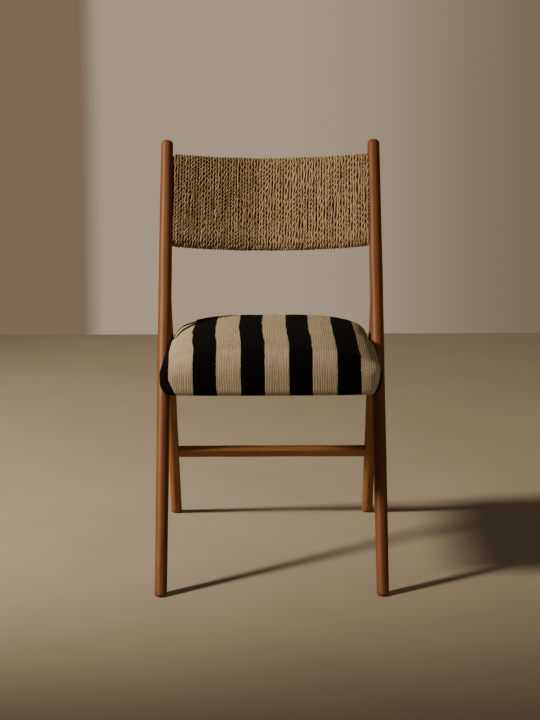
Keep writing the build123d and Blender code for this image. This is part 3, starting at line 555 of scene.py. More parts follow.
@dataclass(frozen=True)
class StripedWeaveFinish:
    """Coarse wool flat-weave: black and cream stripes that run front to back, with hairy edges."""

    name: str
    cream: Colour = (0.43, 0.335, 0.215)
    # darker cream for the slubs, and painted shade in the grooves between the cords
    cream_shade: Colour = (0.32, 0.243, 0.157)
    fleck: Colour = (0.18, 0.115, 0.058)
    soil: Colour = (0.27, 0.175, 0.085)
    black: Colour = (0.0016, 0.0010, 0.0007)
    black_lit: Colour = (0.0048, 0.0035, 0.0027)
    # layout of the stripes
    period: float = 89.0 * MM
    black_width: float = 44.0 * MM
    black_centre: float = -33.0 * MM
    middle_y: float = -103.0 * MM
    depth: float = 438.0 * MM
    drift: float = 5.5 * MM  # to the left towards the rear, at the middle
    drift_slant: float = -0.028  # and more of it with each metre to the left
    drift_start: float = -0.03  # as shares of the depth, from the front
    drift_end: float = 0.55
    edge_softness: float = 0.006  # as a share of the period
    # how the stripes stray
    slow: Noise = Noise(11.0)
    slow_stray: float = 7.0 * MM
    hairs: Noise = Noise(620.0, 4.0, 0.7, (0.22, 1.0, 1.0))
    hair_stray: float = 5.2 * MM
    band_hairs: float = 0.6
    band_ramp: Ramp = Ramp(-0.4 * MM, 0.4 * MM)
    # cords of the weave
    rib_pitch: float = 4.4 * MM
    rib_stray: float = 9.0 * MM
    pick_pitch: float = 2.2 * MM
    pick_stray: float = 1.6 * MM
    wander: Noise = Noise(60.0, 3.0, 0.6, (1.0, 0.30, 0.30))
    threads: Noise = Noise(1300.0, 3.0, 0.6, (1.0, 0.16, 0.16))
    slubs: Noise = Noise(210.0, 3.0, 0.6, (1.0, 0.12, 0.12))
    stains: Noise = Noise(26.0, 3.0, 0.6)
    slub_ramp: Ramp = Ramp(0.35, 0.68, 0.0, 0.75)
    # painted shade in the grooves between the cream cords
    rib_ramp: Ramp = Ramp(0.0, 0.45, 0.62, 0.0)
    fleck_ramp: Ramp = Ramp(0.36, 0.50, 0.30, 0.0)
    stain_ramp: Ramp = Ramp(0.50, 0.75, 0.0, 0.22)
    pick_ramp: Ramp = Ramp(0.55, 1.0, 0.0, 0.55)
    roughness: Ramp = Ramp(0.2, 0.8, 0.95, 0.82)
    cord_height: float = 0.6
    cream_thread_height: float = 0.5
    black_thread_height: float = 0.4
    relief: Relief = Relief(0.7 * MM, 0.7)
    shine: float = 0.06

    def dark(self, shader: Shader, place: Signal) -> Signal:
        """1 where the cloth is black, 0 where it is cream.

        Stripes are a saw wave of X that drifts with Y, with slow and hairy noise at their edges. The side
        bands, kept on the points as how far each lies past the seam, are black as well.

        Args:
            shader: the material under construction.
            place: the pattern's coordinates.

        Returns:
            The share of black.
        """
        x, y, _ = shader.split(place)
        front = self.middle_y - self.depth / 2
        rearward = Ramp(front + self.drift_start * self.depth, front + self.drift_end * self.depth)
        straight = x + y.fit(rearward) * (x * self.drift_slant + self.drift)
        hairs = (shader.noise(place, self.hairs) - 0.5) * self.hair_stray
        across = straight + (shader.noise(place, self.slow) - 0.5) * self.slow_stray + hairs
        turn = (across - (self.black_centre - self.period / 2)) / self.period
        offset = (turn.maths("FRACT") - 0.5).maths("ABSOLUTE")
        edge = self.black_width / self.period / 2
        stripe = offset.fit(Ramp(edge - self.edge_softness, edge + self.edge_softness, 1.0, 0.0))
        band = (shader.attribute("band") + hairs * self.band_hairs).fit(self.band_ramp)
        return stripe.maths("MAXIMUM", band)

    def make(self) -> bpy.types.Material:
        """Cream cords are waves across X, black cords are waves along the cloth, and noise breaks both."""
        shader = Shader(self.name)
        place = shader.coordinates()
        x, y, z = shader.split(place)
        dark = self.dark(shader, place)
        wander = shader.noise(place, self.wander)
        ribs = self.cords(x + wander * self.rib_stray, self.rib_pitch)
        along = (y - self.middle_y).maths("ABSOLUTE") - z
        picks = self.cords(along + wander * self.pick_stray, self.pick_pitch)
        threads = shader.noise(place, self.threads)
        slubs = shader.noise(place, self.slubs)
        stains = shader.noise(place, self.stains)
        creams = shader.blend(slubs.fit(self.slub_ramp), self.cream, self.cream_shade)
        # painted shade in the grooves between the cream cords
        groove_shaded = shader.blend(ribs.fit(self.rib_ramp), creams, self.cream_shade)
        flecked = shader.blend(threads.fit(self.fleck_ramp), groove_shaded, self.fleck)
        aged = shader.blend(stains.fit(self.stain_ramp), flecked, self.soil)
        blacks = shader.blend(picks.fit(self.pick_ramp), self.black, self.black_lit)
        colour = shader.blend(dark, aged, blacks)
        cream_height = ribs * self.cord_height + threads * self.cream_thread_height
        black_height = picks * self.cord_height + threads * self.black_thread_height
        height = cream_height + (black_height - cream_height) * dark
        levels = {"Specular IOR Level": self.shine}
        return shader.finish(colour, threads.fit(self.roughness), height, self.relief, levels)

    @staticmethod
    def cords(place: Signal, pitch: float) -> Signal:
        """Waves from 0 to 1 at a pitch."""
        return (place * (FULL_TURN / pitch)).maths("SINE").swing()


@dataclass(frozen=True)
class PlainFinish:
    """A plain stuff with mottled colour and a fine relief: metal or plastic."""

    name: str
    colour: Colour
    second: Colour
    scale: float
    roughness: float
    depth: float
    metallic: float = 0.0
    smoother: float = 0.06
    rougher: float = 0.08
    tone_ramp: Ramp = Ramp(0.35, 0.7)
    strength: float = 0.6

    def make(self) -> bpy.types.Material:
        """Two tones mixed by noise, the same noise as relief, and roughness that follows it."""
        shader = Shader(self.name)
        grain = shader.noise(shader.coordinates(), Noise(self.scale, 4.0, 0.6))
        colour = shader.blend(grain.fit(self.tone_ramp), self.colour, self.second)
        roughness = grain.fit(Ramp(0.2, 0.8, self.roughness - self.smoother, self.roughness + self.rougher))
        relief = Relief(self.depth, self.strength)
        return shader.finish(colour, roughness, grain, relief, {"Metallic": self.metallic})


@dataclass(frozen=True)
class WovenFinish:
    """A plain weave of two tones, such as webbing or lining: threads over and under in both directions."""

    name: str
    colour: Colour
    second: Colour
    pitch: float
    roughness: float = 0.85
    slubs: Noise = Noise(120.0, 3.0)
    weave_ramp: Ramp = Ramp(0.2, 0.8)
    slub_ramp: Ramp = Ramp(0.4, 0.7, 0.0, 0.4)
    relief: Relief = Relief(0.25 * MM, 0.7)

    def make(self) -> bpy.types.Material:
        """The product of two sines, along X and Y, makes relief and tone; noise varies the tone."""
        shader = Shader(self.name)
        place = shader.coordinates()
        over, under = [(part * (math.pi / self.pitch)).maths("SINE") for part in shader.split(place)[:2]]
        weave = (over * under).swing()
        toned = shader.blend(weave.fit(self.weave_ramp), self.colour, self.second)
        colour = shader.blend(shader.noise(place, self.slubs).fit(self.slub_ramp), toned, self.second)
        return shader.finish(colour, self.roughness, weave, self.relief)


# ---------------------------------------------------------------- frame members


@dataclass(frozen=True)
class MemberAxis:
    """Axis of a leaning round member: where it meets the floor, and how far it leans back from upright."""

    x: float
    foot_y: float
    lean: float

    @property
    def along(self) -> np.ndarray:
        """Unit vector up the axis."""
        return np.array([0.0, math.sin(self.lean), math.cos(self.lean)])

    @property
    def across(self) -> np.ndarray:
        """Unit vector square to the axis and to X, pointing to the back of the chair."""
        return np.array([0.0, math.cos(self.lean), -math.sin(self.lean)])

    def place(self, sideways: np.ndarray, backwards: np.ndarray, station: np.ndarray) -> np.ndarray:
        """Points from their offsets along X and across the axis, and their stations up it."""
        points = station[..., None] * self.along + backwards[..., None] * self.across
        points[..., 0] += self.x + sideways
        points[..., 1] += self.foot_y
        return points


@dataclass(frozen=True)
class ChairSizes:
    """Driving sizes of the chair, in metres and radians, and the axes worked out from them."""

    half_spacing: float = 213.0 * MM
    post_lean: float = math.radians(27.6)
    leg_lean: float = math.radians(29.0)
    front_foot_y: float = -276.97 * MM
    rear_foot_y: float = 310.03 * MM
    glide: float = 3.0 * MM
    post_length: float = 945.0 * MM
    dome_height: float = 9.0 * MM
    post_stations: tuple[float, ...] = (0.0, 170.0 * MM, 660.0 * MM, 936.0 * MM)
    post_radii: tuple[float, ...] = (11.7 * MM, 12.5 * MM, 13.3 * MM, 12.5 * MM)
    leg_stations: tuple[float, ...] = (0.0, 623.0 * MM)
    leg_radii: tuple[float, ...] = (11.9 * MM, 12.4 * MM)
    bolt_height: float = 432.0 * MM

    def post_axis(self, side: Side) -> MemberAxis:
        """Axis of a post."""
        return MemberAxis(side.value * self.half_spacing, self.front_foot_y, self.post_lean)

    def leg_axis(self, side: Side) -> MemberAxis:
        """Axis of a rear leg."""
        return MemberAxis(side.value * self.half_spacing, self.rear_foot_y, -self.leg_lean)


@dataclass(frozen=True)
class TurnedMember:
    """A round bar turned by hand: rings of slightly uneven radius up a leaning axis, its foot cut level."""

    axis: MemberAxis
    stations: tuple[float, ...]
    radii: tuple[float, ...]
    floor_cut: float
    seed: int
    rings: int = 220
    sides: int = 56
    unevenness: float = 0.22 * MM

    @property
    def angles(self) -> np.ndarray:
        """Angles of the lines up the bar."""
        return np.linspace(0, FULL_TURN, self.sides, endpoint=False)

    def radius(self, station: np.ndarray, angle: np.ndarray) -> np.ndarray:
        """Radius between the named stations, with the unevenness of handwork.

        A slow swell wanders up the bar. Over it go faint flats, a cosine of twice the angle, and fainter
        facets, a cosine of five times the angle, whose height and turn both wander up the bar.

        Args:
            station: how far up the bar.
            angle: where round it.

        Returns:
            The radius at each station and angle.
        """
        swell = Wander(height=0.7, rate=2.2, seed=self.seed, terms=5)
        flats = Wander(height=0.8, rate=1.3, seed=self.seed + 1, terms=3)
        flats_turn = Wander(height=3.0, rate=1.0, seed=self.seed + 2, terms=2)
        facets = Wander(height=0.35, rate=5.0, seed=self.seed + 3, terms=3)
        facets_turn = Wander(height=2.0, rate=2.0, seed=self.seed + 4, terms=2)
        uneven = swell.at(station)
        uneven = uneven + flats.at(station) * np.cos(2 * angle + flats_turn.at(station))
        uneven = uneven + facets.at(station) * np.cos(5 * angle + facets_turn.at(station))
        return np.interp(station, self.stations, self.radii) + self.unevenness * uneven

    def foot_station(self) -> np.ndarray:
        """Station at which each line up the bar leaves the level cut of the foot."""
        angle = self.angles
        reach = self.radius(np.zeros_like(angle), angle) * np.sin(angle) * self.axis.across[2]
        return (self.floor_cut - reach) / self.axis.along[2]

    def body(self, end: np.ndarray, share: np.ndarray) -> tuple[np.ndarray, np.ndarray]:
        """Grid of points between the foot's cut and an end station that may differ round the bar.

        Args:
            end: last station at each angle.
            share: from 0 at the foot to 1 at the end, one for each ring.

        Returns:
            The points, and the same points in the bar's own upright coordinates for the grain.
        """
        start = self.foot_station()
        station = start + (end - start) * share[:, None]
        angle = np.broadcast_to(self.angles, station.shape)
        return self.ring_points(self.radius(station, angle), station)

    def ring_points(self, radius: np.ndarray, station: np.ndarray) -> tuple[np.ndarray, np.ndarray]:
        """Rings of points from radii and stations, and the same in the bar's own upright coordinates."""
        sideways, backwards = radius * np.cos(self.angles), radius * np.sin(self.angles)
        local = np.stack([sideways, backwards, station], axis=-1)
        return self.axis.place(sideways, backwards, station), local


@dataclass
class FrameWork:
    """Posts, rear legs, the stretcher between the legs and the plugs over the seat bolts."""

    sizes: ChairSizes
    post_wood: bpy.types.Material
    leg_wood: bpy.types.Material
    plug_wood: bpy.types.Material
    # how the members are turned
    post_seed: int = 11
    leg_seed: int = 31
    ring_crowding: float = 1.02
    dome_rings: int = 12
    dome_power: float = 0.85
    leg_end_inset: float = 0.25
    leg_end_rise: float = 2.5 * MM
    # stretcher
    stretcher_height: float = 161.0 * MM
    stretcher_width: float = 22.0 * MM
    stretcher_thickness: float = 17.5 * MM
    stretcher_corner: float = 4.2 * MM
    stretcher_shy: float = 5.0 * MM
    stretcher_rings: int = 90
    stretcher_sides: int = 48
    stretcher_swell: Wander = Wander(0.02, 4.0, 71)
    stretcher_drift: Wander = Wander(0.15 * MM, 3.0, 73)
    stretcher_sag: Wander = Wander(0.25 * MM, 2.0, 75)
    # plugs
    plug_radius: float = 5.5 * MM
    plug_rings: int = 9
    plug_sides: int = 32
    plug_hole: float = 0.02
    plug_crown: float = 0.22 * MM
    plug_sunk: float = 0.12 * MM
    plug_rim: float = 0.6 * MM
    plug_grain_shift: float = 0.3

    def post(self, side: Side) -> TurnedMember:
        """A post as a turned member."""
        sizes, seed = self.sizes, self.post_seed + side.value
        return TurnedMember(sizes.post_axis(side), sizes.post_stations, sizes.post_radii, sizes.glide, seed)

    def leg(self, side: Side) -> TurnedMember:
        """A rear leg as a turned member."""
        sizes, seed = self.sizes, self.leg_seed + side.value
        return TurnedMember(sizes.leg_axis(side), sizes.leg_stations, sizes.leg_radii, sizes.glide, seed)

    def make_post(self, side: Side) -> None:
        """A post: a turned body and a domed top.

        Each ring of the dome stands on a circle through the top's rim: its radius goes by a power of the
        cosine of the turn, its height by the sine.
        """
        member, sizes = self.post(side), self.sizes
        dome_start = np.full(member.sides, sizes.post_length - sizes.dome_height)
        body, grain = member.body(dome_start, np.linspace(0, 1, member.rings) ** self.ring_crowding)
        turn = np.linspace(0, QUARTER_TURN, self.dome_rings + 2)[1:-1, None]
        radius = member.radius(dome_start, member.angles) * np.cos(turn) ** self.dome_power
        dome, dome_grain = member.ring_points(radius, dome_start + sizes.dome_height * np.sin(turn))
        name = f"{side.name.lower()}_post"
        shell = close_rings(np.concatenate([body, dome]), {"grain": np.concatenate([grain, dome_grain])})
        declare(make_object(f"{name}_turned", shell, self.post_wood), "post_wood", name)

    def make_leg(self, side: Side) -> None:
        """A rear leg: each line up it ends where it meets the post's round, and the end is hidden inside."""
        member = self.leg(side)
        end = self.meeting_station(member, self.post(side))
        points, grain = member.body(end, np.linspace(0, 1, member.rings))
        last = points[-1]
        inner = last + (last.mean(axis=0) - last) * self.leg_end_inset + member.axis.along * self.leg_end_rise
        points = np.concatenate([points, inner[None]])
        name = f"{side.name.lower()}_rear_leg"
        shell = close_rings(points, {"grain": np.concatenate([grain, grain[-1:]])})
        declare(make_object(f"{name}_turned", shell, self.leg_wood), "leg_wood", name)

    @staticmethod
    def meeting_station(member: TurnedMember, post: TurnedMember) -> np.ndarray:
        """Station at which each line up a leg meets the round of its post.

        The distance from the post's axis to a point on the line is set equal to the post's radius, and the
        lower root of that square equation is taken.

        Args:
            member: the leg.
            post: its post.

        Returns:
            The station at each of the leg's angles.
        """
        radius, angle = member.radii[-1], member.angles
        start = member.axis.place(radius * np.cos(angle), radius * np.sin(angle), np.zeros_like(angle))
        away = start - post.axis.place(np.zeros(1), np.zeros(1), np.zeros(1))
        square_start = away - (away @ post.axis.along)[:, None] * post.axis.along
        square_along = member.axis.along - (member.axis.along @ post.axis.along) * post.axis.along
        a = square_along @ square_along
        b = 2 * square_start @ square_along
        c = (square_start**2).sum(axis=1) - max(post.radii) ** 2
        return (-b - np.sqrt(np.maximum(b * b - 4 * a * c, 0.0))) / (2 * a)

    def make_stretcher(self) -> None:
        """The stretcher: a rounded rectangle carried along X, planed by hand, its ends inside the legs.

        The section is four quarter circles joined by flats; its size and height vary slightly along X.
        """
        reach = self.sizes.half_spacing - self.stretcher_shy
        x = np.linspace(-reach, reach, self.stretcher_rings)[:, None]
        sides = self.stretcher_sides
        turn = np.linspace(0, FULL_TURN, sides, endpoint=False) + math.pi / sides
        cosine, sine, corner = np.cos(turn), np.sin(turn), self.stretcher_corner
        half_back, half_up = self.stretcher_thickness / 2 - corner, self.stretcher_width / 2 - corner
        swell = 1 + self.stretcher_swell.at(x)
        back = (np.sign(cosine) * half_back + corner * cosine) * swell + self.stretcher_drift.at(x)
        up = (np.sign(sine) * half_up + corner * sine) * swell + self.stretcher_sag.at(x)
        middle = self.stretcher_height / math.cos(self.sizes.leg_lean)
        points = self.sizes.leg_axis(Side.RIGHT).place(np.zeros_like(back), back, middle + up)
        points[..., 0] = x
        grain = np.stack([back, up, np.broadcast_to(x, back.shape)], axis=-1)
        made = make_object("rear_stretcher_planed", close_rings(points, {"grain": grain}), self.leg_wood)
        declare(made, "leg_wood", "rear_stretcher")

    def make_plug(self, member: TurnedMember, side: Side) -> Shell:
        """A plug's face: a round patch on the member's round, a hair proud of it, with an eased rim.

        It stands proud by the square root of the distance from the rim, up to the crown's height.

        Args:
            member: the post or leg.
            side: its side of the chair, where the plug faces.

        Returns:
            The face as an open shell.
        """
        radius = np.linspace(self.plug_hole, 1.0, self.plug_rings)[:, None] * self.plug_radius
        angle = np.linspace(0, FULL_TURN, self.plug_sides, endpoint=False)
        y, z = radius * np.cos(angle), radius * np.sin(angle)
        rim = np.clip((self.plug_radius - radius) / self.plug_rim, 0, 1)
        proud = self.plug_crown * rim**0.5 - self.plug_sunk + 0 * y
        height, axis = self.sizes.bolt_height, member.axis
        round_radius = float(np.interp(height / axis.along[2], member.stations, member.radii))
        off_axis = y * axis.across[1] + z * axis.across[2]
        x = axis.x + side.value * (np.sqrt(round_radius**2 - off_axis**2) + proud)
        centre_y = axis.foot_y + height * math.tan(axis.lean)
        patch = np.stack([x, centre_y + y, height + z], axis=-1)
        grain = np.stack([y, proud, z + self.plug_grain_shift * side.value], axis=-1)
        return close_rings(patch, {"grain": grain}, inside_out=side is Side.RIGHT, last_open=True)

    def make_plugs(self) -> None:
        """Four plugs, one over each bolt through a post or leg."""
        pairs = [(member, side) for side in Side for member in (self.post(side), self.leg(side))]
        shell = join_shells([self.make_plug(member, side) for member, side in pairs])
        declare(make_object("bolt_plug_faces", shell, self.plug_wood), "plug_wood", "bolt_plugs")

    def build(self) -> None:
        """Builds every member, in order."""
        for side in Side:
            self.make_post(side)
            self.make_leg(side)
        self.make_stretcher()
        self.make_plugs()


# ---------------------------------------------------------------- back


@dataclass
class Strand:
    """A stretch of the rope's middle line.

    Attributes:
        way: how far along the rope each point is, in turns round the rails.
        distance: the same in metres.
        centre: the points.
        normal: unit vectors away from the rails.
        beside: unit vectors square to the rope and to the normal.
    """

    way: np.ndarray
    distance: np.ndarray
    centre: np.ndarray
    normal: np.ndarray
    beside: np.ndarray


@dataclass
class RopeBack:
    """The back: one rope of two plies, wound up the front, over the top rail, down the back and so on."""

    sizes: ChairSizes
    rope: bpy.types.Material
    top_station: float = 916.0 * MM
    height: float = 203.5 * MM
    sagitta: float = 28.0 * MM
    rail_thickness: float = 12.0 * MM
    rail_corner: float = 5.0 * MM
    rope_diameter: float = 5.6 * MM
    half_length: float = 204.6 * MM
    turns: int = 71
    points_in_turn: int = 176
    parts: int = 4
    part_overlap: float = 0.02
    end_tuck: float = 2.2 * MM
    end_tuck_length: float = 8.0 * MM
    least_stray: float = 0.15
    # how the winding strays: sideways, and in or out between the rails
    sideways: tuple[Wander, Wander] = (Wander(0.80 * MM, 1.17, 101, 5), Wander(0.30 * MM, 6.1, 103, 3))
    bulge: tuple[Wander, Wander] = (Wander(0.45 * MM, 1.577, 107, 5), Wander(0.25 * MM, 7.3, 109, 3))
    # twist
    twist_left: float = 19.0 * MM
    twist_right: float = 35.0 * MM
    twist_change: float = 0.42
    twist_spread: float = 0.12
    twist_stray: Wander = Wander(13.0, 0.55, 113, 5)
    # plies
    ply_radius: float = 1.70 * MM
    ply_offset: float = 1.34 * MM
    ply_width: float = 1.08
    ply_sides: int = 6
    ply_grain_shift: float = 0.02
    thickness: tuple[Wander, Wander] = (Wander(0.10, 2.21, 127, 5), Wander(0.05, 11.0, 131, 3))
    lumps: tuple[Wander, Wander] = (Wander(0.10, 60.0, 137), Wander(0.10, 60.0, 138))
    # tone, from dark husk at 0 to straw at 1
    least_tone: float = 0.20
    tone_sweep: float = 0.50
    sweep_middle: float = -28.0 * MM
    sweep_spread: float = 24.0 * MM
    tone_runs: Wander = Wander(0.20, 0.21, 149, 5)
    tone_turns: Wander = Wander(0.16, 0.97, 157, 5)
    tone_blades: tuple[Wander, Wander] = (Wander(0.20, 14.0, 151, 5), Wander(0.20, 14.0, 152, 5))

    @property
    def loop_length(self) -> float:
        """About the length of one turn round both rails."""
        return 2 * (self.height + self.rail_thickness)

    def loop(self, way: np.ndarray) -> tuple[np.ndarray, np.ndarray, np.ndarray, np.ndarray]:
        """The rope's middle line round both rails, in the plane square to the rails.

        The line is a rounded rectangle: two long runs joined by rounds over the rails. A way of 0 is on the
        back at the top rail, and the line goes down the back, under the bottom rail and up the front.

        Args:
            way: how far round, in turns.

        Returns:
            Offsets behind the rails' middle and above the panel's, and the outward normal's two parts.
        """
        corner = self.rail_corner + self.rope_diameter / 2
        half_back = (self.rail_thickness + self.rope_diameter) / 2 - corner
        half_up = (self.height - self.rope_diameter) / 2 - corner
        lengths = np.tile([2 * half_up, QUARTER_TURN * corner, 2 * half_back, QUARTER_TURN * corner], 2)
        ends = np.concatenate([[0.0], np.cumsum(lengths)])
        place = (way % 1.0) * ends[-1]
        leg = np.clip(np.searchsorted(ends, place, side="right") - 1, 0, len(lengths) - 1)
        along = place - ends[leg]
        # each straight run leads up to a corner, and the normal turns by a quarter through the round after it
        quarter, straight = leg // 2, leg % 2 == 0
        heading = quarter * QUARTER_TURN
        turned = heading + np.where(straight, 0.0, along / corner)
        run = np.where(straight, lengths[leg] - along, 0.0)
        normal_back, normal_up = np.cos(turned), -np.sin(turned)
        corner_back = np.array([1, 1, -1, -1])[quarter] * half_back
        corner_up = np.array([-1, -1, 1, 1])[quarter] * half_up
        back = corner_back + corner * normal_back + run * np.sin(heading)
        up = corner_up + corner * normal_up + run * np.cos(heading)
        return back, up, normal_back, normal_up

    def place(self, along: np.ndarray, back: np.ndarray, up: np.ndarray) -> np.ndarray:
        """Points from their place along the bent rails, behind their middle, and above the panel's middle.

        The rails follow a circle about a centre in front of the back; the winding's front and rear layers
        follow circles about the same centre, and a turn keeps its X from one layer to the other.

        Args:
            along: length along the rails, from the chair's mid-plane.
            back: offset behind the rails' middle.
            up: offset above the panel's middle.

        Returns:
            The points.
        """
        radius = (self.sizes.half_spacing**2 + self.sagitta**2) / (2 * self.sagitta)
        axis = MemberAxis(0.0, self.sizes.front_foot_y, self.sizes.post_lean)
        sideways = radius * np.sin(along / radius)
        behind = self.sagitta - radius + np.sqrt((radius + back) ** 2 - sideways**2)
        return axis.place(sideways, behind, self.top_station - self.height / 2 + up)

    def centre_line(self, way: np.ndarray) -> tuple[np.ndarray, np.ndarray]:
        """The rope's middle line through all turns, and its unit normal away from the rails.

        Each turn wanders a little sideways, and the free runs between the rails lie slightly in or out. At
        both ends of the winding the rope is tucked in, by an exponential of the distance from the end.

        Args:
            way: how far along the rope, in turns.

        Returns:
            The line's points and its normals.
        """
        back, up, normal_back, normal_up = self.loop(way)
        free = np.cos(np.clip(up / (self.height / 2), -1, 1) * QUARTER_TURN)
        pitch = 2 * self.half_length / self.turns
        first = -self.half_length + self.rope_diameter / 2
        step = pitch - self.rope_diameter / self.turns
        sideways, bulge = [sum(part.at(way) for part in parts) for parts in (self.sideways, self.bulge)]
        along = first + step * way + sideways * np.clip(free, self.least_stray, 1.0)
        end = self.half_length - np.abs(along)
        lift = bulge * free - self.end_tuck * np.exp(-end / self.end_tuck_length)
        points = self.place(along, back + lift * normal_back, up + lift * normal_up)
        further = lift + pitch
        normal = self.place(along, back + further * normal_back, up + further * normal_up) - points
        return points, normal / np.linalg.norm(normal, axis=-1, keepdims=True)

    def twist(self, way: np.ndarray) -> np.ndarray:
        """Angle of the first ply about the rope's middle line.

        Twists in a metre go from the left value to the right one by a hyperbolic tangent, so their count is
        its integral, the logarithm of a hyperbolic cosine.

        Args:
            way: how far along the rope, in turns.

        Returns:
            The angle at each place.
        """
        spread = self.twist_spread * self.turns
        middle = (1 / self.twist_right + 1 / self.twist_left) / 2
        change = (1 / self.twist_right - 1 / self.twist_left) / 2
        turned = np.log(np.cosh((way - self.twist_change * self.turns) / spread)) * spread
        return FULL_TURN * self.loop_length * (middle * way + change * turned) + self.twist_stray.at(way)

    def make_ply(self, strand: Strand, ply: int) -> Shell:
        """One ply: a tube of uneven radius that winds round the middle line.

        The ply's centre turns round the line once every twist length, in the plane of the normal and the
        vector beside it, and the tube's rings stand square to the line. Its depth goes from 0, nearest the
        rails, to 1, furthest out.

        Args:
            strand: the rope's middle line.
            ply: 0 or 1.

        Returns:
            The closed tube, with grain, tone and depth kept on its points.
        """
        way, centre = strand.way, strand.centre
        turn = (self.twist(way) + math.pi * ply)[:, None]
        outward = np.cos(turn) * strand.normal + np.sin(turn) * strand.beside
        sideward = np.cos(turn) * strand.beside - np.sin(turn) * strand.normal
        thick = 1 + sum(part.at(way) for part in self.thickness)[:, None]
        offset = self.ply_offset * thick
        radius = self.ply_radius * thick * (1 + self.lumps[ply].at(strand.distance)[:, None])
        ring = np.linspace(0, FULL_TURN, self.ply_sides, endpoint=False)
        cosine, sine = np.cos(ring)[:, None], np.sin(ring)[:, None]
        round_ply = cosine * outward[:, None] + self.ply_width * sine * sideward[:, None]
        tube = (centre + offset * outward)[:, None] + radius[..., None] * round_ply
        height = offset * np.cos(turn) + radius * np.cos(ring + turn)
        reach = (self.ply_offset + self.ply_radius) * thick
        local = [radius * np.cos(ring) + self.ply_grain_shift * ply, radius * np.sin(ring)]
        grain = np.stack(np.broadcast_arrays(*local, strand.distance[:, None]), axis=-1)
        tone = np.broadcast_to(self.tone(strand, ply)[:, None], height.shape)
        # depth drives the painted shade deep between the plies
        fields = {"grain": grain, "tone": tone, "depth": height / reach / 2 + 0.5}
        return close_rings(tube, fields, inside_out=True)

    def tone(self, strand: Strand, ply: int) -> np.ndarray:
        """Tone from dark husk to straw: darker on the left by a hyperbolic tangent, and changing as it goes.

        It changes every few turns, from turn to turn, and from blade to blade.

        Args:
            strand: the rope's middle line.
            ply: 0 or 1.

        Returns:
            Tone from 0 to 1.
        """
        x = strand.centre[:, 0]
        sweep = 0.5 + 0.5 * np.tanh((x - self.sweep_middle) / self.sweep_spread)
        steady = self.least_tone + self.tone_sweep * sweep
        changes = self.tone_runs.at(strand.way) + self.tone_turns.at(strand.way)
        return np.clip(steady + changes + self.tone_blades[ply].at(strand.distance), 0.0, 1.0)

    def make_part(self, index: int) -> bpy.types.Object:
        """A share of the rope's turns as a piece of two plies."""
        first, last = [self.turns * step / self.parts for step in (index, index + 1)]
        overlap = self.part_overlap if index else 0.0
        way = np.linspace(first - overlap, last, int((last - first + overlap) * self.points_in_turn))
        centre, normal = self.centre_line(way)
        along = np.gradient(centre, axis=0)
        along /= np.linalg.norm(along, axis=-1, keepdims=True)
        steps = np.linalg.norm(np.diff(centre, axis=0), axis=-1)
        distance = first * self.loop_length + np.concatenate([[0.0], np.cumsum(steps)])
        strand = Strand(way, distance, centre, normal, np.cross(along, normal))
        shell = join_shells([self.make_ply(strand, ply) for ply in range(2)])
        return make_object(f"rope_turns_{index + 1}", shell, self.rope)

    def build(self) -> None:
        """Builds all parts of the rope."""
        for index in range(self.parts):
            declare(self.make_part(index), "grass_rope", "rope_winding")


# ---------------------------------------------------------------- seat


@dataclass(frozen=True)
class RoundedProfile:
    """A rectangle with a different round at each corner, seen from its middle."""

    half_across: float
    half_up: float
    low_first: float
    low_last: float
    high_first: float
    high_last: float

    def reach(self, across: np.ndarray, up: np.ndarray) -> np.ndarray:
        """How many times a direction has to be taken to come to the outline.

        A direction ends on a side, on top or bottom, or on the corner's circle, where the distance from the
        circle's middle is set equal to its radius and the further root is taken.

        Args:
            across: the direction's part along the first axis.
            up: its part along the second axis.

        Returns:
            The multiple for each direction.
        """
        low = np.where(across < 0, self.low_first, self.low_last)
        high = np.where(across < 0, self.high_first, self.high_last)
        radius = np.where(up < 0, low, high)
        u, v = np.maximum(np.abs(across), 1e-9), np.maximum(np.abs(up), 1e-9)
        straight = np.minimum(self.half_across / u, self.half_up / v)
        middle_u, middle_v = self.half_across - radius, self.half_up - radius
        a, b = u * u + v * v, u * middle_u + v * middle_v
        c = middle_u**2 + middle_v**2 - radius**2
        rounded = (b + np.sqrt(np.maximum(b * b - a * c, 0.0))) / a
        in_corner = (u * straight > middle_u) & (v * straight > middle_v)
        return np.where(in_corner, rounded, straight)


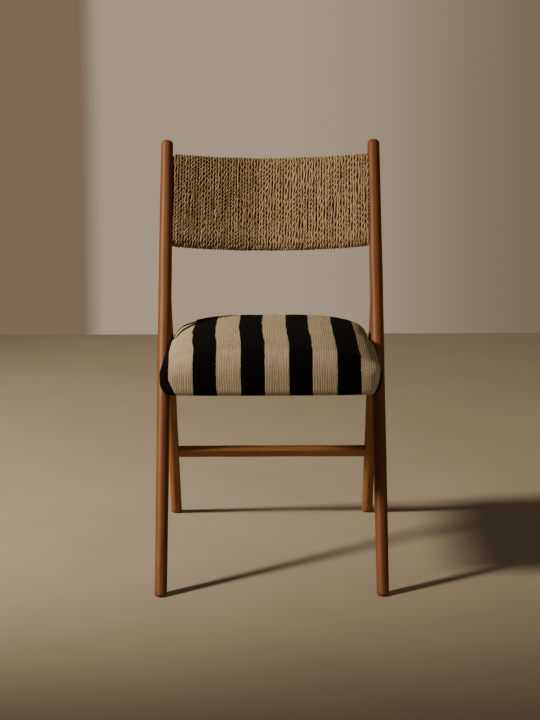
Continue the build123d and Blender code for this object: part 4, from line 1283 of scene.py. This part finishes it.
@dataclass
class StripedSeat:
    """The padded seat: a crowned closed pad in striped weave."""

    weave: bpy.types.Material
    sizes: ChairSizes
    middle_x: float = -0.3 * MM
    front_y: float = -319.0 * MM
    rear_y: float = 114.6 * MM
    underside: float = 399.8 * MM
    side_top: float = 455.0 * MM
    # rounds, in the order of the profile's corners
    plan: tuple[float, float, float, float] = (25.0 * MM, 25.0 * MM, 30.0 * MM, 30.0 * MM)
    front_section: tuple[float, float, float, float] = (21.5 * MM, 22.0 * MM, 17.0 * MM, 15.0 * MM)
    rear_section: tuple[float, float, float, float] = (10.0 * MM, 10.0 * MM, 20.0 * MM, 18.0 * MM)
    side_view: tuple[float, float, float, float] = (10.5 * MM, 6.5 * MM, 25.0 * MM, 28.0 * MM)
    edge_power: float = 240.0
    # half widths in front of the posts and beside them, and the length over which one becomes the other
    free_width: float = 209.3 * MM
    held_width: float = 200.7 * MM
    bulge_length: float = 32.0 * MM
    post_gap: float = 1.0 * MM
    # crown, and the fall of the shoulders and bow of the edge in front
    crown_rise: float = 36.8 * MM
    crown_power: float = 4.0
    crown_fall: float = 0.24
    front_bow: float = 6.5 * MM
    shoulder_fall: float = 2.0 * MM
    shoulder_start: float = 0.48
    shoulder_width: float = 0.50
    fall_start: float = 0.1
    fall_length: float = 0.5
    fall_floor: float = 440.0 * MM
    # filling
    columns: int = 240
    rows: int = 96
    voxel: float = 5.0 * MM
    pressure: float = 4.0
    stretch_stiffness: float = 25.0
    bending_stiffness: float = 2.0
    quality: int = 5
    steps: int = 20
    least_swell: float = 3.0 * MM
    swell: float = 4.0 * MM
    swell_below: float = 0.3
    swell_above: float = 0.5
    underside_give: float = 0.2
    # side seams
    seam_left: float = 194.5 * MM
    seam_right: float = 203.5 * MM
    seam_turn: float = 446.0 * MM
    left_inset: float = 19.0 * MM
    left_power: float = 1.15
    right_inset: float = 14.0 * MM
    right_power: float = 2.0
    right_held_inset: float = 6.5 * MM

    @property
    def middle_y(self) -> float:
        """Middle of the pad between front and rear."""
        return (self.front_y + self.rear_y) / 2

    def freedom(self, y: np.ndarray, z: np.ndarray) -> np.ndarray:
        """How free the pad's side is: 0 beside posts and legs, 1 where it stands in front of the posts.

        Args:
            y: place along the chair.
            z: height.

        Returns:
            The freedom at each place.
        """
        post = self.sizes.post_axis(Side.RIGHT)
        reach = max(self.sizes.post_radii) / post.across[1]
        post_front = post.foot_y + z * math.tan(post.lean) - reach
        return ease((post_front - self.post_gap - y) / self.bulge_length)

    def form(self, around: np.ndarray, down: np.ndarray) -> np.ndarray:
        """The pad's form before it swells.

        A ray from the middle ends on the softened least of three outlines: the plan, the section and the
        side view, each a rectangle with its own rounds. The upper half is then raised to the crown, most in
        the middle of the width; towards the front the shoulders fall and the front edge bows out by a
        square law; and the sides are drawn in where the posts and legs hold them.

        Args:
            around: angle in plan, one for each column.
            down: angle from the crown to the underside, one for each row.

        Returns:
            A grid of points.
        """
        a = self.free_width - self.swell
        b = (self.rear_y - self.front_y) / 2 - self.swell
        base = self.underside + self.swell_below * self.swell
        c = (self.side_top - self.swell_above * self.swell - base) / 2
        ray_x = a * np.sin(down)[:, None] * np.cos(around)
        ray_y = b * np.sin(down)[:, None] * np.sin(around)
        ray_z = c * np.cos(down)[:, None] + 0 * ray_x
        front_reach = RoundedProfile(a, c, *self.front_section).reach(ray_x, ray_z)
        rear_reach = RoundedProfile(a, c, *self.rear_section).reach(ray_x, ray_z)
        reaches = (
            RoundedProfile(a, b, *self.plan).reach(ray_x, ray_y),
            front_reach + (rear_reach - front_reach) * np.clip(ray_y / b + 0.5, 0, 1),
            RoundedProfile(b, c, *self.side_view).reach(ray_y, ray_z),
        )
        least = sum(reach**-self.edge_power for reach in reaches) ** (-1 / self.edge_power)
        x, y, height = least * ray_x, least * ray_y, least * ray_z / c
        across = 1 - np.abs(x / a) ** self.crown_power
        lift = np.clip(height, 0, 1) * across * (1 - self.crown_fall * (y / b) ** 2)
        z = base + c * (1 + height) + (self.crown_rise - self.swell_above * self.swell) * lift
        front = np.clip(-y / b, 0, 1)
        outer = ease((np.abs(x) - self.shoulder_start * a) / (self.shoulder_width * a))
        top = np.clip((z - self.fall_floor) / (self.side_top - self.fall_floor), 0, 1)
        z = z - self.shoulder_fall * outer * top * ease((front - self.fall_start) / self.fall_length)
        held = self.held_width - self.swell
        drawn = (held + (a - held) * self.freedom(self.middle_y + y, z)) / a
        bow = self.front_bow * (1 - (x / a) ** 2) * front**3
        return np.stack([self.middle_x + x * drawn, self.middle_y + y - bow, z], axis=-1)

    def make_form(self) -> bpy.types.Object:
        """The form as a closed grid with a point at the crown and one underneath."""
        around = np.linspace(0, FULL_TURN, self.columns, endpoint=False)
        grid = self.form(around, np.linspace(0, math.pi, self.rows + 2)[1:-1])
        shell = close_rings(grid, {}, inside_out=True)
        top, bottom = grid[0, :, 2].max(), grid[-1, :, 2].min()
        shell.points[-2:] = [[0, self.middle_y, top], [0, self.middle_y, bottom]]
        return make_object("seat_pad", shell, self.weave)

    def fill(self, pad: bpy.types.Object) -> None:
        """Fills the pad: an even remesh, a short cloth simulation under pressure, and limits on its swell.

        Each point moves outwards only, by what the simulation gave it within the limits.
        """
        remesh = pad.modifiers.new("even", "REMESH")
        remesh.mode = "VOXEL"
        remesh.voxel_size = self.voxel
        remesh.use_smooth_shade = True
        apply_modifiers(pad)
        before, normals = read_points(pad.data), read_normals(pad.data)
        shift = normals * self.swell
        self.inflate(pad)
        shift = read_points(pad.data) - before
        outward = np.clip((shift * normals).sum(axis=1, keepdims=True), self.least_swell, self.swell)
        write_points(pad.data, before + normals * outward)

    def inflate(self, pad: bpy.types.Object) -> None:
        """Lets the pad's skin settle as cloth under pressure from inside, without weight."""
        settings = pad.modifiers.new("fill", "CLOTH").settings
        settings.quality = self.quality
        settings.use_pressure = True
        settings.uniform_pressure_force = self.pressure
        settings.effector_weights.gravity = 0.0
        settings.tension_stiffness = settings.compression_stiffness = self.stretch_stiffness
        settings.bending_stiffness = self.bending_stiffness
        scene = bpy.context.scene
        for step in range(1, self.steps + 1):
            scene.frame_set(step)
        apply_modifiers(pad)
        scene.frame_set(1)

    def press(self, pad: bpy.types.Object) -> None:
        """Presses the pad to what holds it: flat underneath, and in beside the posts and legs."""
        x, y, z = read_points(pad.data).T
        flattened = self.underside - self.underside_give * (self.underside - z)
        z = np.where(z < self.underside, flattened, z)
        limit = self.held_width + (self.free_width - self.held_width) * self.freedom(y, z)
        write_points(pad.data, np.stack([np.clip(x, -limit, limit), y, z], axis=-1))

    def mark_seams(self, pad: bpy.types.Object) -> None:
        """Keeps on each point how far it lies past the side seams, in metres.

        Each side seam runs back along the shoulder. On the front face it comes in towards the underside, by a
        power of how far down the face it is.
        """
        x, y, z = read_points(pad.data).T
        low = np.clip((self.seam_turn - z) / (self.seam_turn - self.underside), 0, 1)
        held = 1 - self.freedom(y, z)
        left = self.seam_left - self.left_inset * low**self.left_power
        right = self.seam_right - self.right_inset * low**self.right_power - self.right_held_inset * held
        keep_on_points(pad.data, "band", np.where(x < 0, -x - left, x - right))

    def build(self) -> None:
        """Builds the pad."""
        pad = self.make_form()
        self.fill(pad)
        self.press(pad)
        finer = pad.modifiers.new("finer", "SUBSURF")
        finer.levels = finer.render_levels = 1
        apply_modifiers(pad)
        self.mark_seams(pad)
        declare(pad, "striped_flatweave", "seat_cover", "seat_foam")


@dataclass
class SeatLining:
    """The lining: a thin sheet stretched under the seat's rails, sagging a little between its edges."""

    cloth: bpy.types.Material
    thickness: float = 0.5 * MM
    sag: float = 5.0 * MM
    sag_power: float = 0.7
    ripple: Wander = Wander(0.3 * MM, 1.0, 211)
    ripple_slant: float = 3.0
    rows: int = 56
    columns: int = 60

    def build(self) -> None:
        """Builds the sheet.

        The sag is a power of the product of two half sine waves, one across and one along.
        """
        low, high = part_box("dust_cover")
        u, v = np.meshgrid(np.linspace(0, 1, self.rows), np.linspace(0, 1, self.columns), indexing="ij")
        sag = (np.sin(math.pi * u) * np.sin(math.pi * v)) ** self.sag_power
        ripple = self.ripple.at(u * self.ripple_slant + v)
        z = high.z - self.thickness + (ripple - self.sag) * sag
        points = np.stack([low.x + (high.x - low.x) * u, low.y + (high.y - low.y) * v, z], axis=-1)
        index = np.arange(u.size).reshape(u.shape)
        quads = np.stack([index[:-1, :-1], index[:-1, 1:], index[1:, 1:], index[1:, :-1]], axis=-1)
        sheet = make_object("seat_lining", Shell(points, [quads.reshape(-1, 4)]), self.cloth)
        solidify = sheet.modifiers.new("thickness", "SOLIDIFY")
        solidify.thickness, solidify.offset = self.thickness, 0.0
        apply_modifiers(sheet)
        declare(sheet, "black_lining", "dust_cover")


# ---------------------------------------------------------------- carried-over nodes


@dataclass(frozen=True)
class CarriedNodes:
    """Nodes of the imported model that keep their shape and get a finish, by the finish's name."""

    bare_wood: tuple[str, ...] = (
        "leg_dowels",
        "seat_left_rail",
        "seat_right_rail",
        "seat_front_rail",
        "seat_rear_rail",
        "frame_dowels",
        "corner_blocks",
        "seat_spacers",
    )
    rail_wood: tuple[str, ...] = ("back_top_rail", "back_bottom_rail")
    jute_webbing: tuple[str, ...] = ("webbing_lengthwise", "webbing_crosswise")
    glide_plastic: tuple[str, ...] = ("front_glides", "rear_glides")
    dull_steel: tuple[str, ...] = (
        "rope_tacks",
        "corner_block_screws",
        "webbing_tacks",
        "cover_tacks",
        "seat_bolts",
        "tee_nuts",
        "glide_nails",
    )

    def dress(self, materials: dict[str, bpy.types.Material]) -> None:
        """Gives each named node its finish."""
        for finish, names in vars(self).items():
            for name in names:
                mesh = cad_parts[name].data
                mesh.materials.clear()
                mesh.materials.append(materials[finish])
                LOG.info("%s: carried over in %s", name, finish)


# ---------------------------------------------------------------- studio


@dataclass
class Studio:
    """A pale floor, soft light from the front left and the camera."""

    # camera
    focal_length: float = 90.0
    sensor: float = 36.0
    near: float = 0.05
    far: float = 60.0
    position: Triple = (0.00521, -3.57632, 1.10940)
    yaw: float = math.radians(-0.117)
    pitch: float = math.radians(11.13)
    roll: float = math.radians(-0.246)
    # floor
    floor_reach: float = 6.0
    floor_back: float = 2.53
    floor_colour: Colour = (0.33, 0.275, 0.185)
    floor_mottle: Noise = Noise(3.0, 4.0, 0.6)
    floor_ramp: Ramp = Ramp(0.3, 0.7)
    floor_shade: float = 0.93
    floor_roughness: float = 0.75
    floor_grit: Noise = Noise(400.0)
    floor_relief: Relief = Relief(0.1 * MM, 0.3)
    # key light
    key_direction: Triple = (-0.780, -0.375, 0.500)
    key_distance: float = 4.2
    key_centre: Triple = (0.0, 0.25, 0.45)
    key_aim: Triple = (-0.55, 0.74, 0.45)
    key_radius: float = 0.25
    key_angle: float = math.radians(56.0)
    key_power: float = 1480.0
    key_colour: Colour = (1.0, 0.90, 0.78)
    # fill light
    fill_place: Triple = (2.2, -3.0, 0.75)
    fill_aim: Triple = (0.0, 0.0, 0.40)
    fill_size: float = 1.8
    fill_power: float = 24.0
    fill_colour: Colour = (1.0, 0.90, 0.76)
    # backdrop and room
    wall_colour: Colour = (0.53, 0.405, 0.285)
    wall_shade: Colour = (0.23, 0.180, 0.120)
    # painted shadow on the backdrop at the far left
    wall_corner: Colour = (0.252, 0.177, 0.111)
    room_colour: Colour = (0.070, 0.058, 0.045)
    wall_strength: float = 0.85
    shade_ramp: Ramp = Ramp(0.0, 0.160)
    corner_ramp: Ramp = Ramp(-0.092, -0.106)
    room_ramp: Ramp = Ramp(0.86, 0.35)

    def make_camera(self) -> None:
        """Aims the camera: its look, right and up vectors come from yaw, pitch and roll."""
        heading = Vector((math.sin(self.yaw), math.cos(self.yaw), 0.0))
        look = math.cos(self.pitch) * heading - math.sin(self.pitch) * Vector((0.0, 0.0, 1.0))
        right = Vector((math.cos(self.yaw), -math.sin(self.yaw), 0.0))
        up = right.cross(look)
        tilted = math.cos(self.roll) * right + math.sin(self.roll) * up
        upright = -math.sin(self.roll) * right + math.cos(self.roll) * up
        data = bpy.data.cameras.new("camera")
        data.lens, data.sensor_width = self.focal_length, self.sensor
        data.clip_start, data.clip_end = self.near, self.far
        camera = bpy.data.objects.new("camera", data)
        turn = Matrix((tilted, upright, -look)).transposed()
        camera.matrix_world = Matrix.Translation(self.position) @ turn.to_4x4()
        bpy.context.scene.collection.objects.link(camera)
        bpy.context.scene.camera = camera

    def make_floor(self) -> None:
        """The floor: a plate that ends where the wall would stand."""
        shader = Shader("studio_floor")
        place = shader.coordinates()
        mottle = shader.noise(place, self.floor_mottle).fit(self.floor_ramp)
        colour = shader.blend(mottle, self.floor_colour, shaded(self.floor_colour, self.floor_shade))
        grit = shader.noise(place, self.floor_grit)
        material = shader.finish(colour, self.floor_roughness, grit, self.floor_relief)
        side, back = self.floor_reach, self.floor_back
        corners = np.array([[-side, -side, 0], [side, -side, 0], [side, back, 0], [-side, back, 0]], float)
        make_object("floor", Shell(corners, [np.array([[0, 1, 2, 3]])]), material)

    def aim_light(self, data: bpy.types.Light, place: Vector, target: Triple) -> None:
        """Puts a light at a place and turns it to a target."""
        light = bpy.data.objects.new(data.name, data)
        light.location = place
        light.rotation_mode = "QUATERNION"
        light.rotation_quaternion = (place - Vector(target)).to_track_quat("Z", "Y")
        bpy.context.scene.collection.objects.link(light)

    def make_key(self) -> None:
        """A soft-edged spot from the front left, aimed past the chair so that it fades on the near floor."""
        data = bpy.data.lights.new("key", "SPOT")
        data.energy, data.color = self.key_power, self.key_colour
        data.shadow_soft_size, data.spot_size, data.spot_blend = self.key_radius, self.key_angle, 1.0
        away = Vector(self.key_direction).normalized() * self.key_distance
        self.aim_light(data, Vector(self.key_centre) + away, self.key_aim)

    def make_fill(self) -> None:
        """A large weak area light, low on the right, that opens the shaded sides."""
        data = bpy.data.lights.new("fill", "AREA")
        data.energy, data.color, data.size = self.fill_power, self.fill_colour, self.fill_size
        self.aim_light(data, Vector(self.fill_place), self.fill_aim)

    def make_world(self) -> None:
        """Low light from the room, and a lit backdrop with painted shade to the right and a painted shadow at
        the far left.

        Both follow the direction in space: its Y picks room or backdrop, and its X the fade.
        """
        world = bpy.data.worlds.new("studio")
        world.use_nodes = True
        nodes = Nodes(world.node_tree)
        x, y, _ = nodes.split(nodes.add("ShaderNodeTexCoord", {}, "Generated"))
        shade = nodes.blend(x.fit(self.shade_ramp), self.wall_colour, self.wall_shade)
        # painted shadow at the far left of the backdrop
        backdrop = nodes.blend(x.fit(self.corner_ramp), shade, self.wall_corner)
        background = world.node_tree.nodes["Background"]
        nodes.put(background.inputs["Color"], nodes.blend(y.fit(self.room_ramp), backdrop, self.room_colour))
        nodes.put(background.inputs["Strength"], self.wall_strength)
        bpy.context.scene.world = world

    def build(self) -> None:
        """Builds camera, floor, lights and world."""
        self.make_camera()
        self.make_floor()
        self.make_key()
        self.make_fill()
        self.make_world()


# ---------------------------------------------------------------- the chair


def make_materials() -> dict[str, bpy.types.Material]:
    """Makes every finish of the chair, kept under its name."""
    sawn = {"source": Coordinates.OBJECT, "grain_stretch": (0.05, 1.0, 1.0)}
    finishes = (
        # posts: the same wood as the legs, painted darker as painted shade that takes down their key light
        WoodFinish("post_wood", pale=(0.190, 0.070, 0.019), deep=(0.105, 0.033, 0.008)),
        # legs and stretcher: the same wood as the posts, painted lighter as painted fill light on these
        # shaded members
        WoodFinish("leg_wood", pale=(0.275, 0.118, 0.033), deep=(0.160, 0.060, 0.015)),
        WoodFinish("plug_wood", pale=(0.20, 0.066, 0.018), deep=(0.11, 0.033, 0.008)),
        WoodFinish("rail_wood", pale=(0.30, 0.13, 0.05), deep=(0.17, 0.066, 0.024), **sawn),
        WoodFinish("bare_wood", (0.55, 0.37, 0.20), (0.40, 0.25, 0.12), roughness=0.7, coat=0.0, **sawn),
        RopeFinish("grass_rope"),
        StripedWeaveFinish("striped_weave"),
        WovenFinish("black_lining", (0.012, 0.012, 0.012), (0.022, 0.021, 0.020), pitch=0.7 * MM),
        WovenFinish("jute_webbing", (0.34, 0.24, 0.13), (0.20, 0.13, 0.065), pitch=1.6 * MM),
        PlainFinish(
            "dull_steel",
            (0.42, 0.41, 0.39),
            (0.27, 0.26, 0.25),
            scale=300.0,
            roughness=0.42,
            depth=0.05 * MM,
            metallic=1.0,
        ),
        PlainFinish(
            "glide_plastic",
            (0.020, 0.018, 0.016),
            (0.035, 0.031, 0.027),
            scale=500.0,
            roughness=0.5,
            depth=0.08 * MM,
        ),
    )
    return {finish.name: finish.make() for finish in finishes}


def main() -> None:
    """Builds the chair's pieces in order."""
    logging.basicConfig(level=logging.INFO, format="%(message)s")
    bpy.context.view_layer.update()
    sizes = ChairSizes()
    materials = make_materials()
    Studio().build()
    FrameWork(sizes, materials["post_wood"], materials["leg_wood"], materials["plug_wood"]).build()
    RopeBack(sizes, materials["grass_rope"]).build()
    StripedSeat(materials["striped_weave"], sizes).build()
    SeatLining(materials["black_lining"]).build()
    CarriedNodes().dress(materials)


if __name__ == "__main__":
    main()
